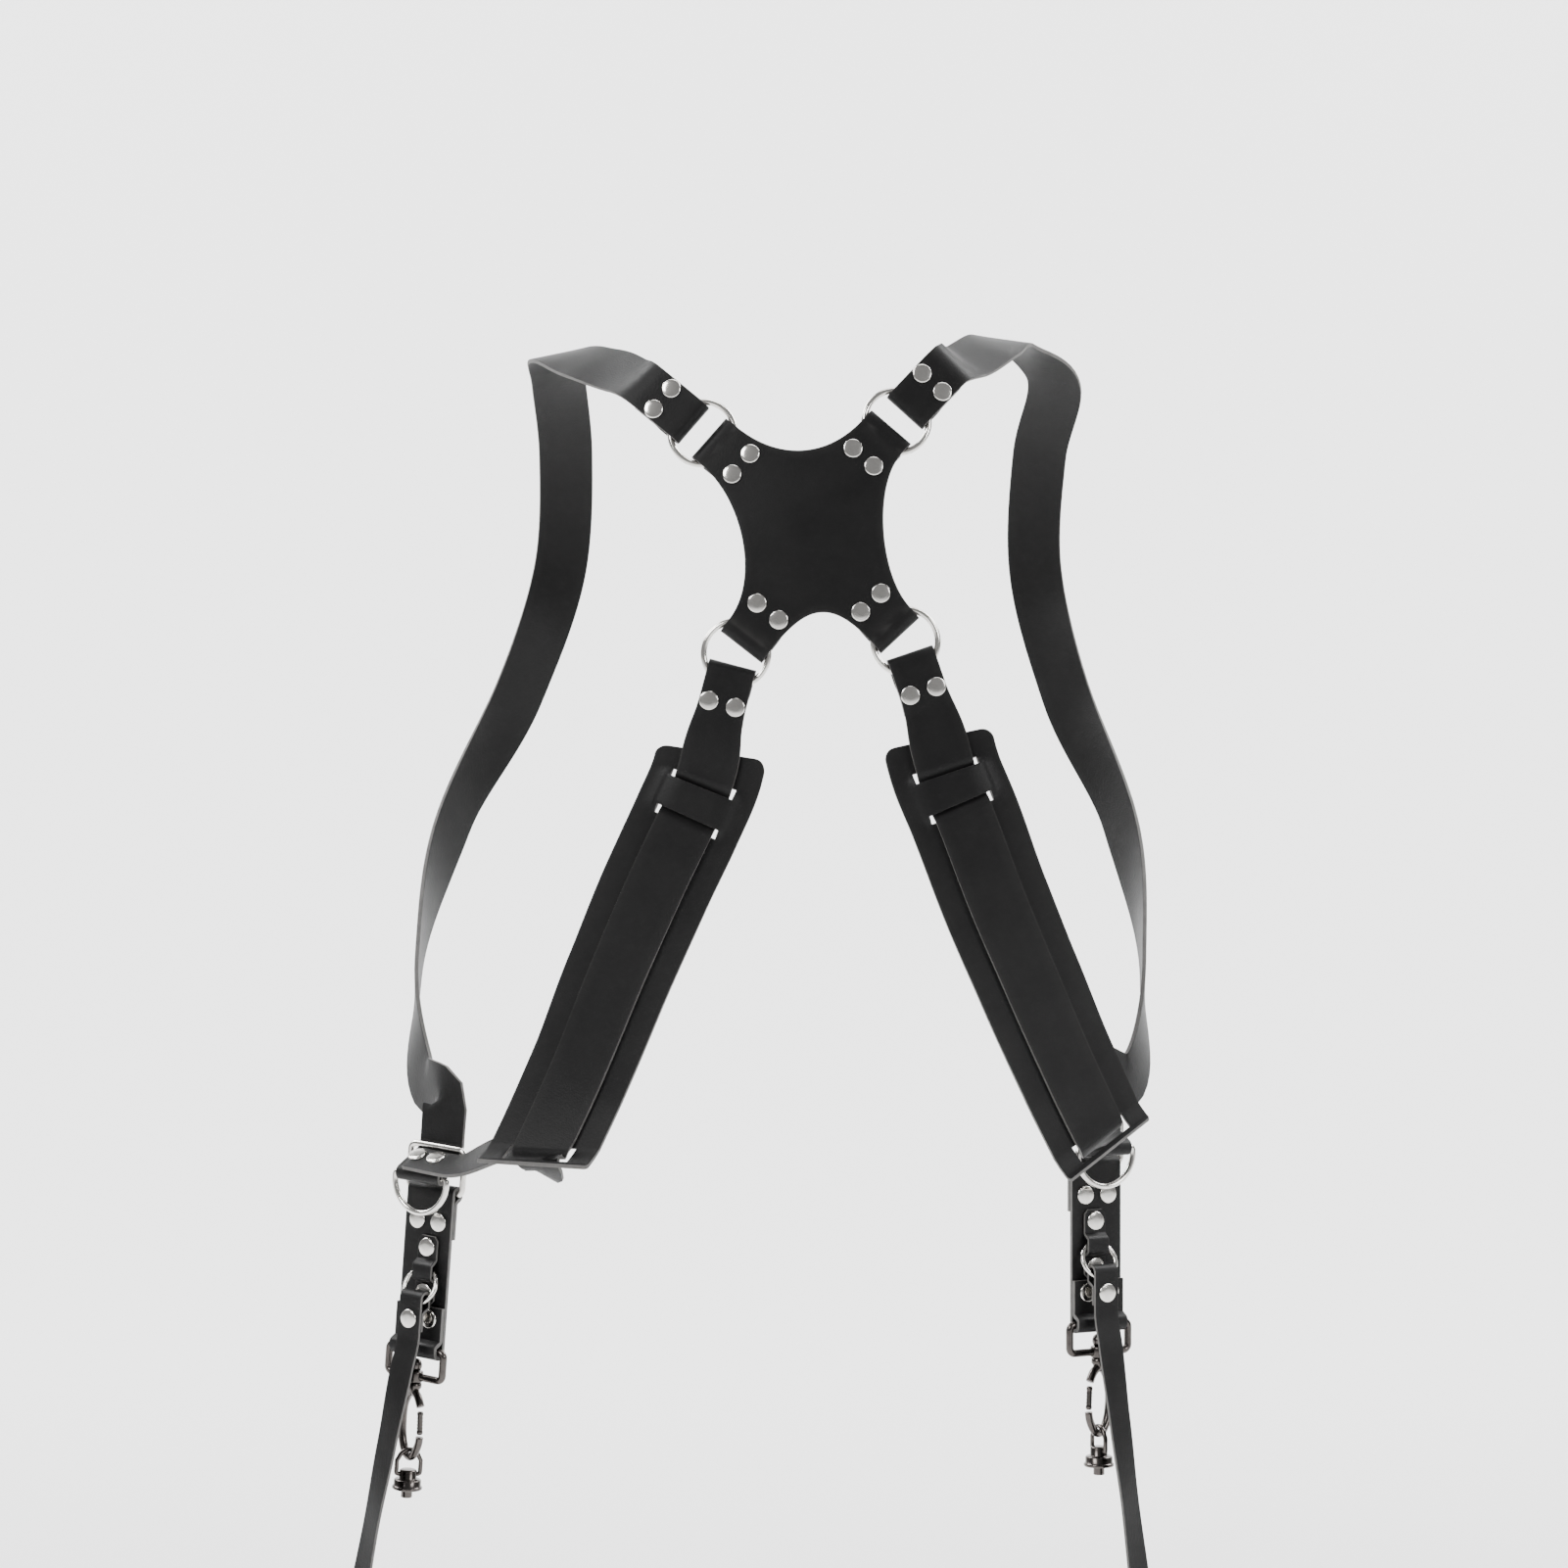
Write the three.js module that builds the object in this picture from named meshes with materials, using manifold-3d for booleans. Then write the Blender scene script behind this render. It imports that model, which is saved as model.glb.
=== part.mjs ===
// A dual camera harness of black leather, with a cross-shaped back plate, two shoulder straps,
// two padded side straps and a camera hanger at each hip, shaped as it hangs on its wearer.
// Millimetres, +Z up. The wearer faces +Y, so the back plate is on the -Y side, and the wearer's
// left is -X. The origin lies between the shoulder tops, at the height where the straps rest.
import * as THREE from "three";
import { mergeVertices } from "three/addons/utils/BufferGeometryUtils.js";
import Module from "manifold-3d";

const wasm = await Module();
wasm.setup();

// Leather and clearances
const STRAP_THICK = 2.2;
const LEASH_THICK = 1.6;
const GAP = 0.3;
const STRAP_WIDTH = 30;
const RING_END_WIDTH = 24.5;
const TAPER_LENGTH = 60;

// The wearer's form that the harness is shaped to
const CHEST_WIDTH = 386;
const CHEST_DEPTH = 236;
const HIP_DROP = 440;
const LEAN = -19;

// Back plate
const PLATE_DROP = 107.7;
const PLATE_PITCH = 5;
const PLATE_REACH = 72;
const PLATE_ARM_WIDTH = 26.5;
const PLATE_DISH_RADIUS = 30;
const PLATE_DISH_SLOPE = 0.11;

// Wire rings
const O_RING_RADIUS = 16.6;
const O_RING_WIRE = 1.6;
const HIP_RING_WIDTH = 35.5;
const HIP_RING_HEIGHT = 23.5;
const HIP_RING_WIRE = 1.75;
const D_RING_WIDTH = 34;
const D_RING_HEIGHT = 20;
const D_RING_WIRE = 1.6;
const LEASH_RING_RADIUS = 9.75;
const LEASH_RING_WIRE = 1.25;
const LEASH_RING_TILT = 25;

// Rivets
const RIVET_RADIUS = 5;
const RIVET_CAP = 1.3;
const RIVET_SHANK = 1.6;
const RIVET_SPACING = 14;
const RIVET_SETBACK = 26.8;
const FOLD_EASING = 3.2;
const TAIL_LENGTH = 36;

// Pads
const PAD_WIDTH = 57;
const PAD_LENGTH = 234;
const PAD_START = 52;
const PAD_CORNER = 6;
const PAD_END_CORNER = 1.5;
const PAD_SLOT_WIDTH = 4.8;
const PAD_END_SLOT_WIDTH = 9;
const PAD_EASING = 0.26;
const PAD_BRIDGE_START = 17;
const PAD_BRIDGE_LENGTH = 21;
const PAD_END_MARGIN = 8;
const PAD_TIP_RADIUS = 4;
const PAD_TIP_ANGLE = 70;

// Shelf of leather that runs out through the hip ring to the D-ring
const SHELF_ANGLE = 62;
const SHELF_RUN = 18;
const SHELF_TAIL = 12;
const SHELF_WIDTH = 28;
const SIDE_END_WIDTH = 18;

// Hanging tab, keeper and leash
const TAB_WIDTH = 30;
const TAB_LENGTH = 82.75;
const TAB_RIVET_DROP = 15.4;
const TAB_UPPER_TAIL = 24;
const TAB_LOWER_TAIL = 22.8;
const TAB_LOWER_RIVET_RISE = 16.5;
const TAB_RIVET_SPACING = 14;
const KEEPER_WIDTH = 12.5;
const KEEPER_OFFSET = 2;
const KEEPER_RIVET_DROP = 29;
const KEEPER_RIVET_PITCH = 24;
const KEEPER_MARGIN = 6;
const KEEPER_EASING = 3.6;
const LEASH_WIDTH = 14;
const LEASH_TAIL = 17;
const LEASH_DROP = 170;

// Snap hook and camera screw
const LOOP_WIDTH = 36;
const LOOP_HEIGHT = 15;
const LOOP_WIRE = 2;
const BOSS_RADIUS = 4.5;
const BOSS_HEIGHT = 6;
const SWIVEL_RADIUS = 2;
const SWIVEL_HEAD = 3.6;
const COLLAR_RADIUS = 4;
const COLLAR_HEIGHT = 4.5;
const HOOK_WIRE = 2.2;
const HOOK_HALF_WIDTH = 9;
const HOOK_HEIGHT = 35;
const HOOK_TURN = 20;
const GATE_WIRE = 1.7;
const SCREW_RING_WIRE = 1.2;
const SCREW_RING_HALF_WIDTH = 6.4;
const SCREW_RING_HEIGHT = 13;
const SCREW_RING_TURN = 70;
const SCREW_HEAD_RADIUS = 4.6;
const SCREW_HEAD_HEIGHT = 5;
const SCREW_BASE_RADIUS = 8;
const SCREW_BASE_HEIGHT = 5.5;
const STUD_RADIUS = 3.1;
const STUD_LENGTH = 4.5;

const leather = new THREE.MeshStandardMaterial({ color: 0x0d0d0f, roughness: 0.5, metalness: 0 });
const nickel = new THREE.MeshStandardMaterial({ color: 0xd4d2cf, roughness: 0.18, metalness: 1 });
const gunmetal = new THREE.MeshStandardMaterial({ color: 0x3a3735, roughness: 0.3, metalness: 1 });

const WIRE_SIDES = 5;
const RING_STEPS = 16;
const RIVET_SIDES = 7;
const LAYER = STRAP_THICK + GAP;
const PAD_LAYER = LAYER + PAD_EASING;
const Z = new THREE.Vector3(0, 0, 1);
const rad = THREE.MathUtils.degToRad;
const smooth = (x) => THREE.MathUtils.smoothstep(x, 0, 1);
const harness = new THREE.Group();
harness.name = "dual_camera_harness";

// Solids

// Turns a geometry round if its faces point inwards.
function facingOut(geometry) {
  const p = geometry.getAttribute("position");
  const index = geometry.index.array;
  const [a, b, c] = [new THREE.Vector3(), new THREE.Vector3(), new THREE.Vector3()];
  let volume = 0;
  for (let i = 0; i < index.length; i += 3) {
    a.fromBufferAttribute(p, index[i]);
    b.fromBufferAttribute(p, index[i + 1]);
    c.fromBufferAttribute(p, index[i + 2]);
    volume += a.dot(b.cross(c));
  }
  if (volume < 0) {
    for (let i = 0; i < index.length; i += 3) {
      [index[i], index[i + 1]] = [index[i + 1], index[i]];
    }
  }
  return geometry;
}

// Joins rings of points into one closed skin, with flat ends unless the rings run full circle.
function loft(rings, fullCircle = false) {
  const count = rings[0].length;
  const faces = [];
  const spans = fullCircle ? rings.length : rings.length - 1;
  for (let i = 0; i < spans; i++) {
    const j = (i + 1) % rings.length;
    for (let k = 0; k < count; k++) {
      const l = (k + 1) % count;
      faces.push(i * count + k, i * count + l, j * count + l);
      faces.push(i * count + k, j * count + l, j * count + k);
    }
  }
  if (!fullCircle) {
    const last = (rings.length - 1) * count;
    for (let k = 1; k < count - 1; k++) {
      faces.push(0, k + 1, k);
      faces.push(last, last + k, last + k + 1);
    }
  }
  const geometry = new THREE.BufferGeometry().setFromPoints(rings.flat());
  geometry.setIndex(faces);
  return facingOut(geometry);
}

// A merged copy of a geometry, with positions only.
function bare(geometry) {
  const copy = geometry.clone();
  copy.deleteAttribute("normal");
  copy.deleteAttribute("uv");
  return mergeVertices(copy, 1e-4);
}

function solid(geometry) {
  const merged = bare(geometry);
  return new wasm.Manifold(
    new wasm.Mesh({
      numProp: 3,
      vertProperties: new Float32Array(merged.attributes.position.array),
      triVerts: new Uint32Array(merged.index.array),
    }),
  );
}

function geometryOf(manifold) {
  const mesh = manifold.getMesh();
  const geometry = new THREE.BufferGeometry();
  const points = new THREE.BufferAttribute(new Float32Array(mesh.vertProperties), 3);
  geometry.setAttribute("position", points);
  geometry.setIndex(Array.from(mesh.triVerts));
  return geometry;
}

const cut = (geometry, tools) =>
  geometryOf(tools.reduce((body, tool) => body.subtract(solid(tool)), solid(geometry)));

const join = (geometries) =>
  geometryOf(geometries.map(solid).reduce((body, next) => body.add(next)));

// A round wire along points of the XY plane.
function wire(points, radius, sides, fullCircle = true) {
  const count = points.length;
  const rings = points.map((point, i) => {
    const before = fullCircle ? points[(i + count - 1) % count] : points[Math.max(i - 1, 0)];
    const after = fullCircle ? points[(i + 1) % count] : points[Math.min(i + 1, count - 1)];
    const back = point.clone().sub(before).normalize();
    const ahead = after.clone().sub(point).normalize();
    const along = back.add(ahead).normalize();
    const mitre = Math.max(Math.abs(along.dot(ahead)), Math.abs(along.dot(back)), 0.7);
    return Array.from({ length: sides }, (_, k) => {
      const angle = ((k + 0.5) / sides) * 2 * Math.PI;
      const off = (radius * Math.cos(angle)) / mitre;
      return new THREE.Vector3(
        point.x - along.y * off,
        point.y + along.x * off,
        radius * Math.sin(angle),
      );
    });
  });
  return loft(rings, fullCircle);
}

// Points of an arc in the XY plane, with angles in degrees.
function arc(x, y, radius, from, to, steps) {
  return Array.from({ length: steps + 1 }, (_, i) => {
    const angle = rad(from + ((to - from) * i) / steps);
    return new THREE.Vector2(x + radius * Math.cos(angle), y + radius * Math.sin(angle));
  });
}

// A rectangle with round corners, measured along the middle of its wire.
function roundedLoop(width, height, corner) {
  const x = width / 2 - corner;
  const y = height / 2 - corner;
  return [
    ...arc(x, y, corner, 0, 90, 3),
    ...arc(-x, y, corner, 90, 180, 3),
    ...arc(-x, -y, corner, 180, 270, 3),
    ...arc(x, -y, corner, 270, 360, 3),
  ];
}

// A turned piece along Z, from pairs of radius and height that start and end on the axis.
function turned(profile, sides) {
  const points = profile.map(([radius, height]) => new THREE.Vector2(radius, height));
  return new THREE.LatheGeometry(points, sides).rotateX(Math.PI / 2);
}

function add(parent, name, geometry, material) {
  const mesh = new THREE.Mesh(geometry, material);
  mesh.name = name;
  parent.add(mesh);
  return mesh;
}

// Leather strips

// A layer of leather seen from its edge: a pen that runs along the strip (s) and off it (n),
// and turns round wires.
class Layer {
  constructor(s, n, heading) {
    this.points = [new THREE.Vector2(s, n)];
    this.heading = rad(heading);
  }

  get end() {
    return this.points[this.points.length - 1];
  }

  step(ahead, left) {
    const [c, d] = [Math.cos(this.heading), Math.sin(this.heading)];
    return new THREE.Vector2(
      this.end.x + ahead * c - left * d,
      this.end.y + ahead * d + left * c,
    );
  }

  run(length, steps = 1) {
    for (let i = 0; i < steps; i++) {
      this.points.push(this.step(length / steps, 0));
    }
    return this;
  }

  turn(radius, degrees, steps) {
    const part = rad(degrees) / steps;
    const side = Math.sign(degrees);
    for (let i = 0; i < steps; i++) {
      const next = this.step(
        radius * Math.sin(Math.abs(part)),
        side * radius * (1 - Math.cos(part)),
      );
      this.points.push(next);
      this.heading += part;
    }
    return this;
  }

  // Eases sideways by a shift while it runs on.
  ease(length, shift, steps = 4) {
    const start = this.end.clone();
    const [c, d] = [Math.cos(this.heading), Math.sin(this.heading)];
    for (let i = 1; i <= steps; i++) {
      const ahead = (length * i) / steps;
      const left = shift * smooth(i / steps);
      this.points.push(
        new THREE.Vector2(start.x + ahead * c - left * d, start.y + ahead * d + left * c),
      );
    }
    return this;
  }
}

// Starts a layer with a tail folded under it round a wire, whose middle is at s = wireAt.
function foldedStart(wireAt, radius, cavity, tail, layer = LAYER) {
  const pen = new Layer(tail, -layer, 180);
  pen.run(tail - cavity - FOLD_EASING);
  pen.ease(FOLD_EASING, 2 * radius - layer);
  pen.run(cavity - wireAt);
  pen.turn(radius, -180, 8);
  return pen;
}

// Ends a layer with its tail folded back round a wire; side is 1 for a tail on the outer side.
function foldEnd(pen, radius, cavity, tail, side, layer = LAYER) {
  pen.turn(radius, side * 180, 8);
  pen.run(cavity);
  pen.ease(FOLD_EASING, side * (2 * radius - layer));
  pen.run(tail - cavity - FOLD_EASING);
  return pen;
}

// The skin of a strip: its edge view carried along a route, with its own width at each place.
function strip(points, thick, halfWidth, place) {
  const rings = points.map((point, i) => {
    const back = point.clone().sub(points[Math.max(i - 1, 0)]);
    const ahead = points[Math.min(i + 1, points.length - 1)].clone().sub(point);
    const along = (i ? back : ahead.clone()).normalize();
    const next = i < points.length - 1 ? ahead.normalize() : along.clone();
    const middle = along.clone().add(next).normalize();
    const half = thick / 2 / Math.max(middle.dot(next), 0.5);
    const [ds, dn] = [-middle.y * half, middle.x * half];
    const w = halfWidth(point.x);
    return [
      place(point.x + ds, -w, point.y + dn),
      place(point.x + ds, w, point.y + dn),
      place(point.x - ds, w, point.y - dn),
      place(point.x - ds, -w, point.y - dn),
    ];
  });
  return loft(rings);
}

// A smooth way through points with their outward directions. The first and the last stretch
// are straight, where the leather is folded round a ring, and a direction may be pinned.
class Route {
  constructor(points, normals, pinned = new Map(), stepsPerSpan = 16) {
    const last = points.length - 1;
    const spans = points.slice(1).map((point, i) => point.distanceTo(points[i]));
    const slope = (i) =>
      points[i + 1].clone().sub(points[i]).divideScalar(spans[i]);
    const tangents = points.map((_, i) => {
      if (pinned.has(i)) return pinned.get(i).clone();
      if (i <= 1) return slope(0);
      if (i >= last - 1) return slope(last - 1);
      const mixed = slope(i - 1).multiplyScalar(spans[i]);
      mixed.add(slope(i).multiplyScalar(spans[i - 1]));
      return mixed.divideScalar(spans[i] + spans[i - 1]);
    });
    this.frames = [];
    let length = 0;
    for (let i = 0; i < last; i++) {
      for (let k = i ? 1 : 0; k <= stepsPerSpan; k++) {
        const u = k / stepsPerSpan;
        const point = new THREE.Vector3();
        point.addScaledVector(points[i], (1 + 2 * u) * (1 - u) * (1 - u));
        point.addScaledVector(points[i + 1], u * u * (3 - 2 * u));
        point.addScaledVector(tangents[i], spans[i] * u * (1 - u) * (1 - u));
        point.addScaledVector(tangents[i + 1], spans[i] * u * u * (u - 1));
        const previous = this.frames[this.frames.length - 1];
        length += previous ? point.distanceTo(previous.point) : 0;
        const normal = normals[i].clone().lerp(normals[i + 1], smooth(u)).normalize();
        this.frames.push({ s: length, point, normal });
      }
    }
    this.length = length;
    this.frames.forEach((frame, i) => {
      const before = this.frames[Math.max(i - 1, 0)].point;
      const after = this.frames[Math.min(i + 1, this.frames.length - 1)].point;
      frame.along = after.clone().sub(before).normalize();
      frame.normal.addScaledVector(frame.along, -frame.normal.dot(frame.along)).normalize();
      frame.across = new THREE.Vector3().crossVectors(frame.along, frame.normal);
    });
  }

  // Where a place of the strip lies: along it (s), across it (w) and off its middle (n). A
  // slant carries a place further along by its share of the way across.
  place(s, w, n, slant = 0) {
    const frames = this.frames;
    let high = frames.findIndex((frame) => frame.s >= s);
    if (high < 0) high = frames.length - 1;
    high = Math.max(high, 1);
    const [a, b] = [frames[high - 1], frames[high]];
    const u = (s - a.s) / (b.s - a.s);
    const inside = Math.min(Math.max(u, 0), 1);
    const point = a.point.clone().lerp(b.point, inside);
    const along = a.along.clone().lerp(b.along, inside).normalize();
    const normal = a.normal.clone().lerp(b.normal, inside).normalize();
    const across = a.across.clone().lerp(b.across, inside).normalize();
    point.addScaledVector(along, (u - inside) * (b.s - a.s) + slant * w);
    return point.addScaledVector(across, w).addScaledVector(normal, n);
  }

  // The matrix of a place of the strip: X across it, Y along it and Z outwards.
  frameAt(s, w = 0, n = 0) {
    const origin = this.place(s, w, n);
    const across = this.place(s, w + 1, n).sub(origin);
    const out = this.place(s, w, n + 1).sub(origin);
    const along = new THREE.Vector3().crossVectors(out, across);
    return new THREE.Matrix4().makeBasis(across, along, out).setPosition(origin);
  }
}

// Rivets

// A rivet with a cap on each side, for a stack of leather from z = bottom to z = top.
function rivetGeometry(top, bottom) {
  const [high, low] = [top + GAP, bottom - GAP];
  return turned(
    [
      [0, low - RIVET_CAP],
      [0.8 * RIVET_RADIUS, low - RIVET_CAP],
      [RIVET_RADIUS, low],
      [RIVET_SHANK, low],
      [RIVET_SHANK, high],
      [RIVET_RADIUS, high],
      [0.8 * RIVET_RADIUS, high + RIVET_CAP],
      [0, high + RIVET_CAP],
    ],
    RIVET_SIDES,
  );
}

// The hole that a rivet's shank needs.
function rivetHole(top, bottom) {
  const length = top - bottom + 4;
  const radius = RIVET_SHANK + GAP;
  const hole = new THREE.CylinderGeometry(radius, radius, length, 6);
  return hole.rotateX(Math.PI / 2).translate(0, 0, (top + bottom) / 2);
}

function addRivet(parent, name, frame, top, bottom) {
  const rivet = add(parent, name, rivetGeometry(top, bottom), nickel);
  frame.decompose(rivet.position, rivet.quaternion, rivet.scale);
  return rivetHole(top, bottom).applyMatrix4(frame);
}

// Two rivets side by side through a folded end: their names, and the frame between them.
function rivetPair(parent, name, frame, top, bottom, spacing) {
  return [-1, 1].map((side) => {
    const moved = frame.clone().multiply(
      new THREE.Matrix4().makeTranslation((side * spacing) / 2, 0, 0),
    );
    return addRivet(parent, `${name}_${side < 0 ? "a" : "b"}`, moved, top, bottom);
  });
}

// Back plate

const O_RING_FOLD = O_RING_WIRE + 1.5 * GAP + STRAP_THICK / 2;
const O_RING_CAVITY = O_RING_RADIUS + O_RING_WIRE + GAP;
const foldedPairTop = STRAP_THICK / 2;
const foldedPairBottom = -LAYER - STRAP_THICK / 2;

// Where a fold of a given width goes round a ring: just inside the place where the ring's wire
// leaves the leather's edges, which it crosses at a slant.
function foldAt(width) {
  const crossing = Math.sqrt(O_RING_RADIUS ** 2 - (width / 2) ** 2);
  return crossing - O_RING_WIRE * (O_RING_RADIUS / crossing - 1) - GAP;
}

// The four rings round the plate: across and up as shares of its reach, and the ways that the
// plate's arm and the ring's strap aim, in degrees from the wearer's right.
const ARMS = [
  { name: "upper_left", across: -0.762, up: 0.722, aim: 139, strap: 139.6 },
  { name: "upper_right", across: 0.63, up: 0.806, aim: 49, strap: 47.3 },
  { name: "lower_left", across: -0.52, up: -0.87, aim: 232, strap: 255 },
  { name: "lower_right", across: 0.69, up: -0.785, aim: -47, strap: -71 },
];

// How far each concave side of the plate is pulled in, as shares of the plate's reach.
const WAISTS = [
  { from: "upper_right", to: "upper_left", pull: 0.39 },
  { from: "upper_left", to: "lower_left", pull: 0.37 },
  { from: "lower_left", to: "lower_right", pull: 0.42 },
  { from: "lower_right", to: "upper_right", pull: 0.32 },
];

// The plate's own frame: X across, Y up and Z outwards.
const plateFrame = new THREE.Matrix4()
  .makeTranslation(0, -CHEST_DEPTH / 2, -PLATE_DROP)
  .multiply(new THREE.Matrix4().makeRotationX(rad(90 - PLATE_PITCH)));

// Dishes the plate to the back: a shallow bowl whose arms run on straight.
function dish(point) {
  const radius = Math.hypot(point.x, point.y);
  const inner = Math.min(radius, PLATE_DISH_RADIUS);
  const bowl = (PLATE_DISH_SLOPE * inner * inner) / (2 * PLATE_DISH_RADIUS);
  const sunk = bowl + PLATE_DISH_SLOPE * (radius - inner);
  return new THREE.Vector3(point.x, point.y, point.z - sunk);
}

// The flat frame of an arm: it starts at its ring's middle and runs towards the plate.
function armFlat(arm, s, w) {
  const out = new THREE.Vector2(Math.cos(rad(arm.aim)), Math.sin(rad(arm.aim)));
  const ring = new THREE.Vector2(arm.across, arm.up).multiplyScalar(PLATE_REACH);
  return ring.addScaledVector(out, -s).add(new THREE.Vector2(-out.y, out.x).multiplyScalar(w));
}

function dished(flat, n) {
  return dish(new THREE.Vector3(flat.x, flat.y, n)).applyMatrix4(plateFrame);
}

// The frame of a ring of the plate in the harness: X along the arm's width, Y away from the
// plate, turned to an aim, and Z outwards.
function ringFrame(arm, aim = arm.aim) {
  const probe = 2 * O_RING_RADIUS;
  const middle = dished(armFlat(arm, 0, 0), 0);
  const away = middle.clone().sub(dished(armFlat(arm, probe, 0), 0)).normalize();
  const side = dished(armFlat(arm, 0, -1), 0).sub(dished(armFlat(arm, 0, 1), 0));
  const out = new THREE.Vector3().crossVectors(side, away).normalize();
  const across = new THREE.Vector3().crossVectors(away, out);
  const frame = new THREE.Matrix4().makeBasis(across, away, out);
  frame.multiply(new THREE.Matrix4().makeRotationZ(rad(aim - arm.aim)));
  return frame.setPosition(middle);
}

// Splits long edges at their middles, so that a flat sheet can be bent.
function splitEdges(geometry, longest) {
  const points = [];
  const source = geometry.getAttribute("position");
  for (let i = 0; i < source.count; i++) {
    points.push(new THREE.Vector3().fromBufferAttribute(source, i));
  }
  let faces = [];
  for (let i = 0; i < geometry.index.count; i += 3) {
    faces.push([0, 1, 2].map((k) => geometry.index.getX(i + k)));
  }
  let split = true;
  while (split) {
    split = false;
    const middles = new Map();
    const middle = (a, b) => {
      if (points[a].distanceTo(points[b]) <= longest) return -1;
      const key = Math.min(a, b) + "_" + Math.max(a, b);
      if (!middles.has(key)) {
        middles.set(key, points.length);
        points.push(points[a].clone().lerp(points[b], 0.5));
      }
      split = true;
      return middles.get(key);
    };
    faces = faces.flatMap(([a, b, c]) => {
      const length = ([p, q]) => points[p].distanceTo(points[q]);
      const turns = [[a, b, c], [b, c, a], [c, a, b]];
      const [d, e, f] = turns.sort((p, q) => length(q) - length(p))[0];
      const m = middle(d, e);
      if (m < 0) return [[a, b, c]];
      const g = middle(e, f);
      const h = middle(f, d);
      const parts = [];
      if (g < 0) parts.push([m, e, f]);
      else parts.push([m, e, g], [m, g, f]);
      if (h < 0) parts.push([d, m, f]);
      else parts.push([d, m, h], [m, f, h]);
      return parts;
    });
  }
  const result = new THREE.BufferGeometry().setFromPoints(points);
  result.setIndex(faces.flat());
  return result;
}

function plateOutline() {
  const half = PLATE_ARM_WIDTH / 2;
  const start = foldAt(PLATE_ARM_WIDTH) + 3;
  const shape = new THREE.Shape();
  WAISTS.forEach((waist, i) => {
    const from = ARMS.find((arm) => arm.name === waist.from);
    const to = ARMS.find((arm) => arm.name === waist.to);
    const pull = waist.pull * PLATE_REACH;
    const [a, b] = [armFlat(from, start, half), armFlat(to, start, -half)];
    const [c, d] = [armFlat(from, start + pull, half), armFlat(to, start + pull, -half)];
    if (i) shape.lineTo(a.x, a.y);
    else shape.moveTo(a.x, a.y);
    shape.bezierCurveTo(c.x, c.y, d.x, d.y, b.x, b.y);
  });
  shape.closePath();
  return shape;
}

function backPlate() {
  const settings = { depth: STRAP_THICK, bevelEnabled: false, curveSegments: 7 };
  const sheet = new THREE.ExtrudeGeometry(plateOutline(), settings);
  sheet.translate(0, 0, -STRAP_THICK / 2);
  const wireAt = foldAt(PLATE_ARM_WIDTH);
  const folds = ARMS.map((arm) => {
    const pen = foldedStart(wireAt, O_RING_FOLD, O_RING_CAVITY, TAIL_LENGTH).run(9);
    return strip(pen.points, STRAP_THICK, () => PLATE_ARM_WIDTH / 2, (s, w, n) => {
      const flat = armFlat(arm, s, w);
      return new THREE.Vector3(flat.x, flat.y, n);
    });
  });
  const flat = bare(join([sheet, ...folds]));
  const bent = splitEdges(flat, 42);
  const points = bent.getAttribute("position");
  for (let i = 0; i < points.count; i++) {
    const point = dish(new THREE.Vector3().fromBufferAttribute(points, i));
    point.applyMatrix4(plateFrame);
    points.setXYZ(i, point.x, point.y, point.z);
  }
  const holes = ARMS.flatMap((arm) => {
    const origin = dished(armFlat(arm, RIVET_SETBACK, 0), 0);
    const frame = ringFrame(arm).setPosition(origin);
    const name = `rivet_plate_${arm.name}`;
    return rivetPair(harness, name, frame, foldedPairTop, foldedPairBottom, RIVET_SPACING);
  });
  add(harness, "back_plate", cut(bent, holes), leather);
}

// The rings lie in the folds, half of a fold below the leather's middle.
function oRings() {
  for (const arm of ARMS) {
    const frame = ringFrame(arm);
    frame.multiply(new THREE.Matrix4().makeTranslation(0, 0, -O_RING_FOLD));
    const geometry = new THREE.TorusGeometry(O_RING_RADIUS, O_RING_WIRE, WIRE_SIDES, RING_STEPS);
    const ring = add(harness, `o_ring_${arm.name}`, geometry, nickel);
    frame.decompose(ring.position, ring.quaternion, ring.scale);
  }
}

// Routes of the straps

// An outward direction: turn is from straight back towards the strap's own side, rise is
// upwards, both in degrees; side is -1 for the wearer's left.
function outward(side, turn, rise) {
  const flat = Math.cos(rad(rise));
  return new THREE.Vector3(
    side * Math.sin(rad(turn)) * flat,
    -Math.cos(rad(turn)) * flat,
    Math.sin(rad(rise)),
  );
}

// A place round the wearer: out and back are shares of half the chest's width and depth, and
// down is a share of the hips' drop.
function onForm(side, row) {
  return new THREE.Vector3(
    LEAN * row.down + (side * row.out * CHEST_WIDTH) / 2,
    (-row.back * CHEST_DEPTH) / 2,
    -row.down * HIP_DROP,
  );
}

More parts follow.
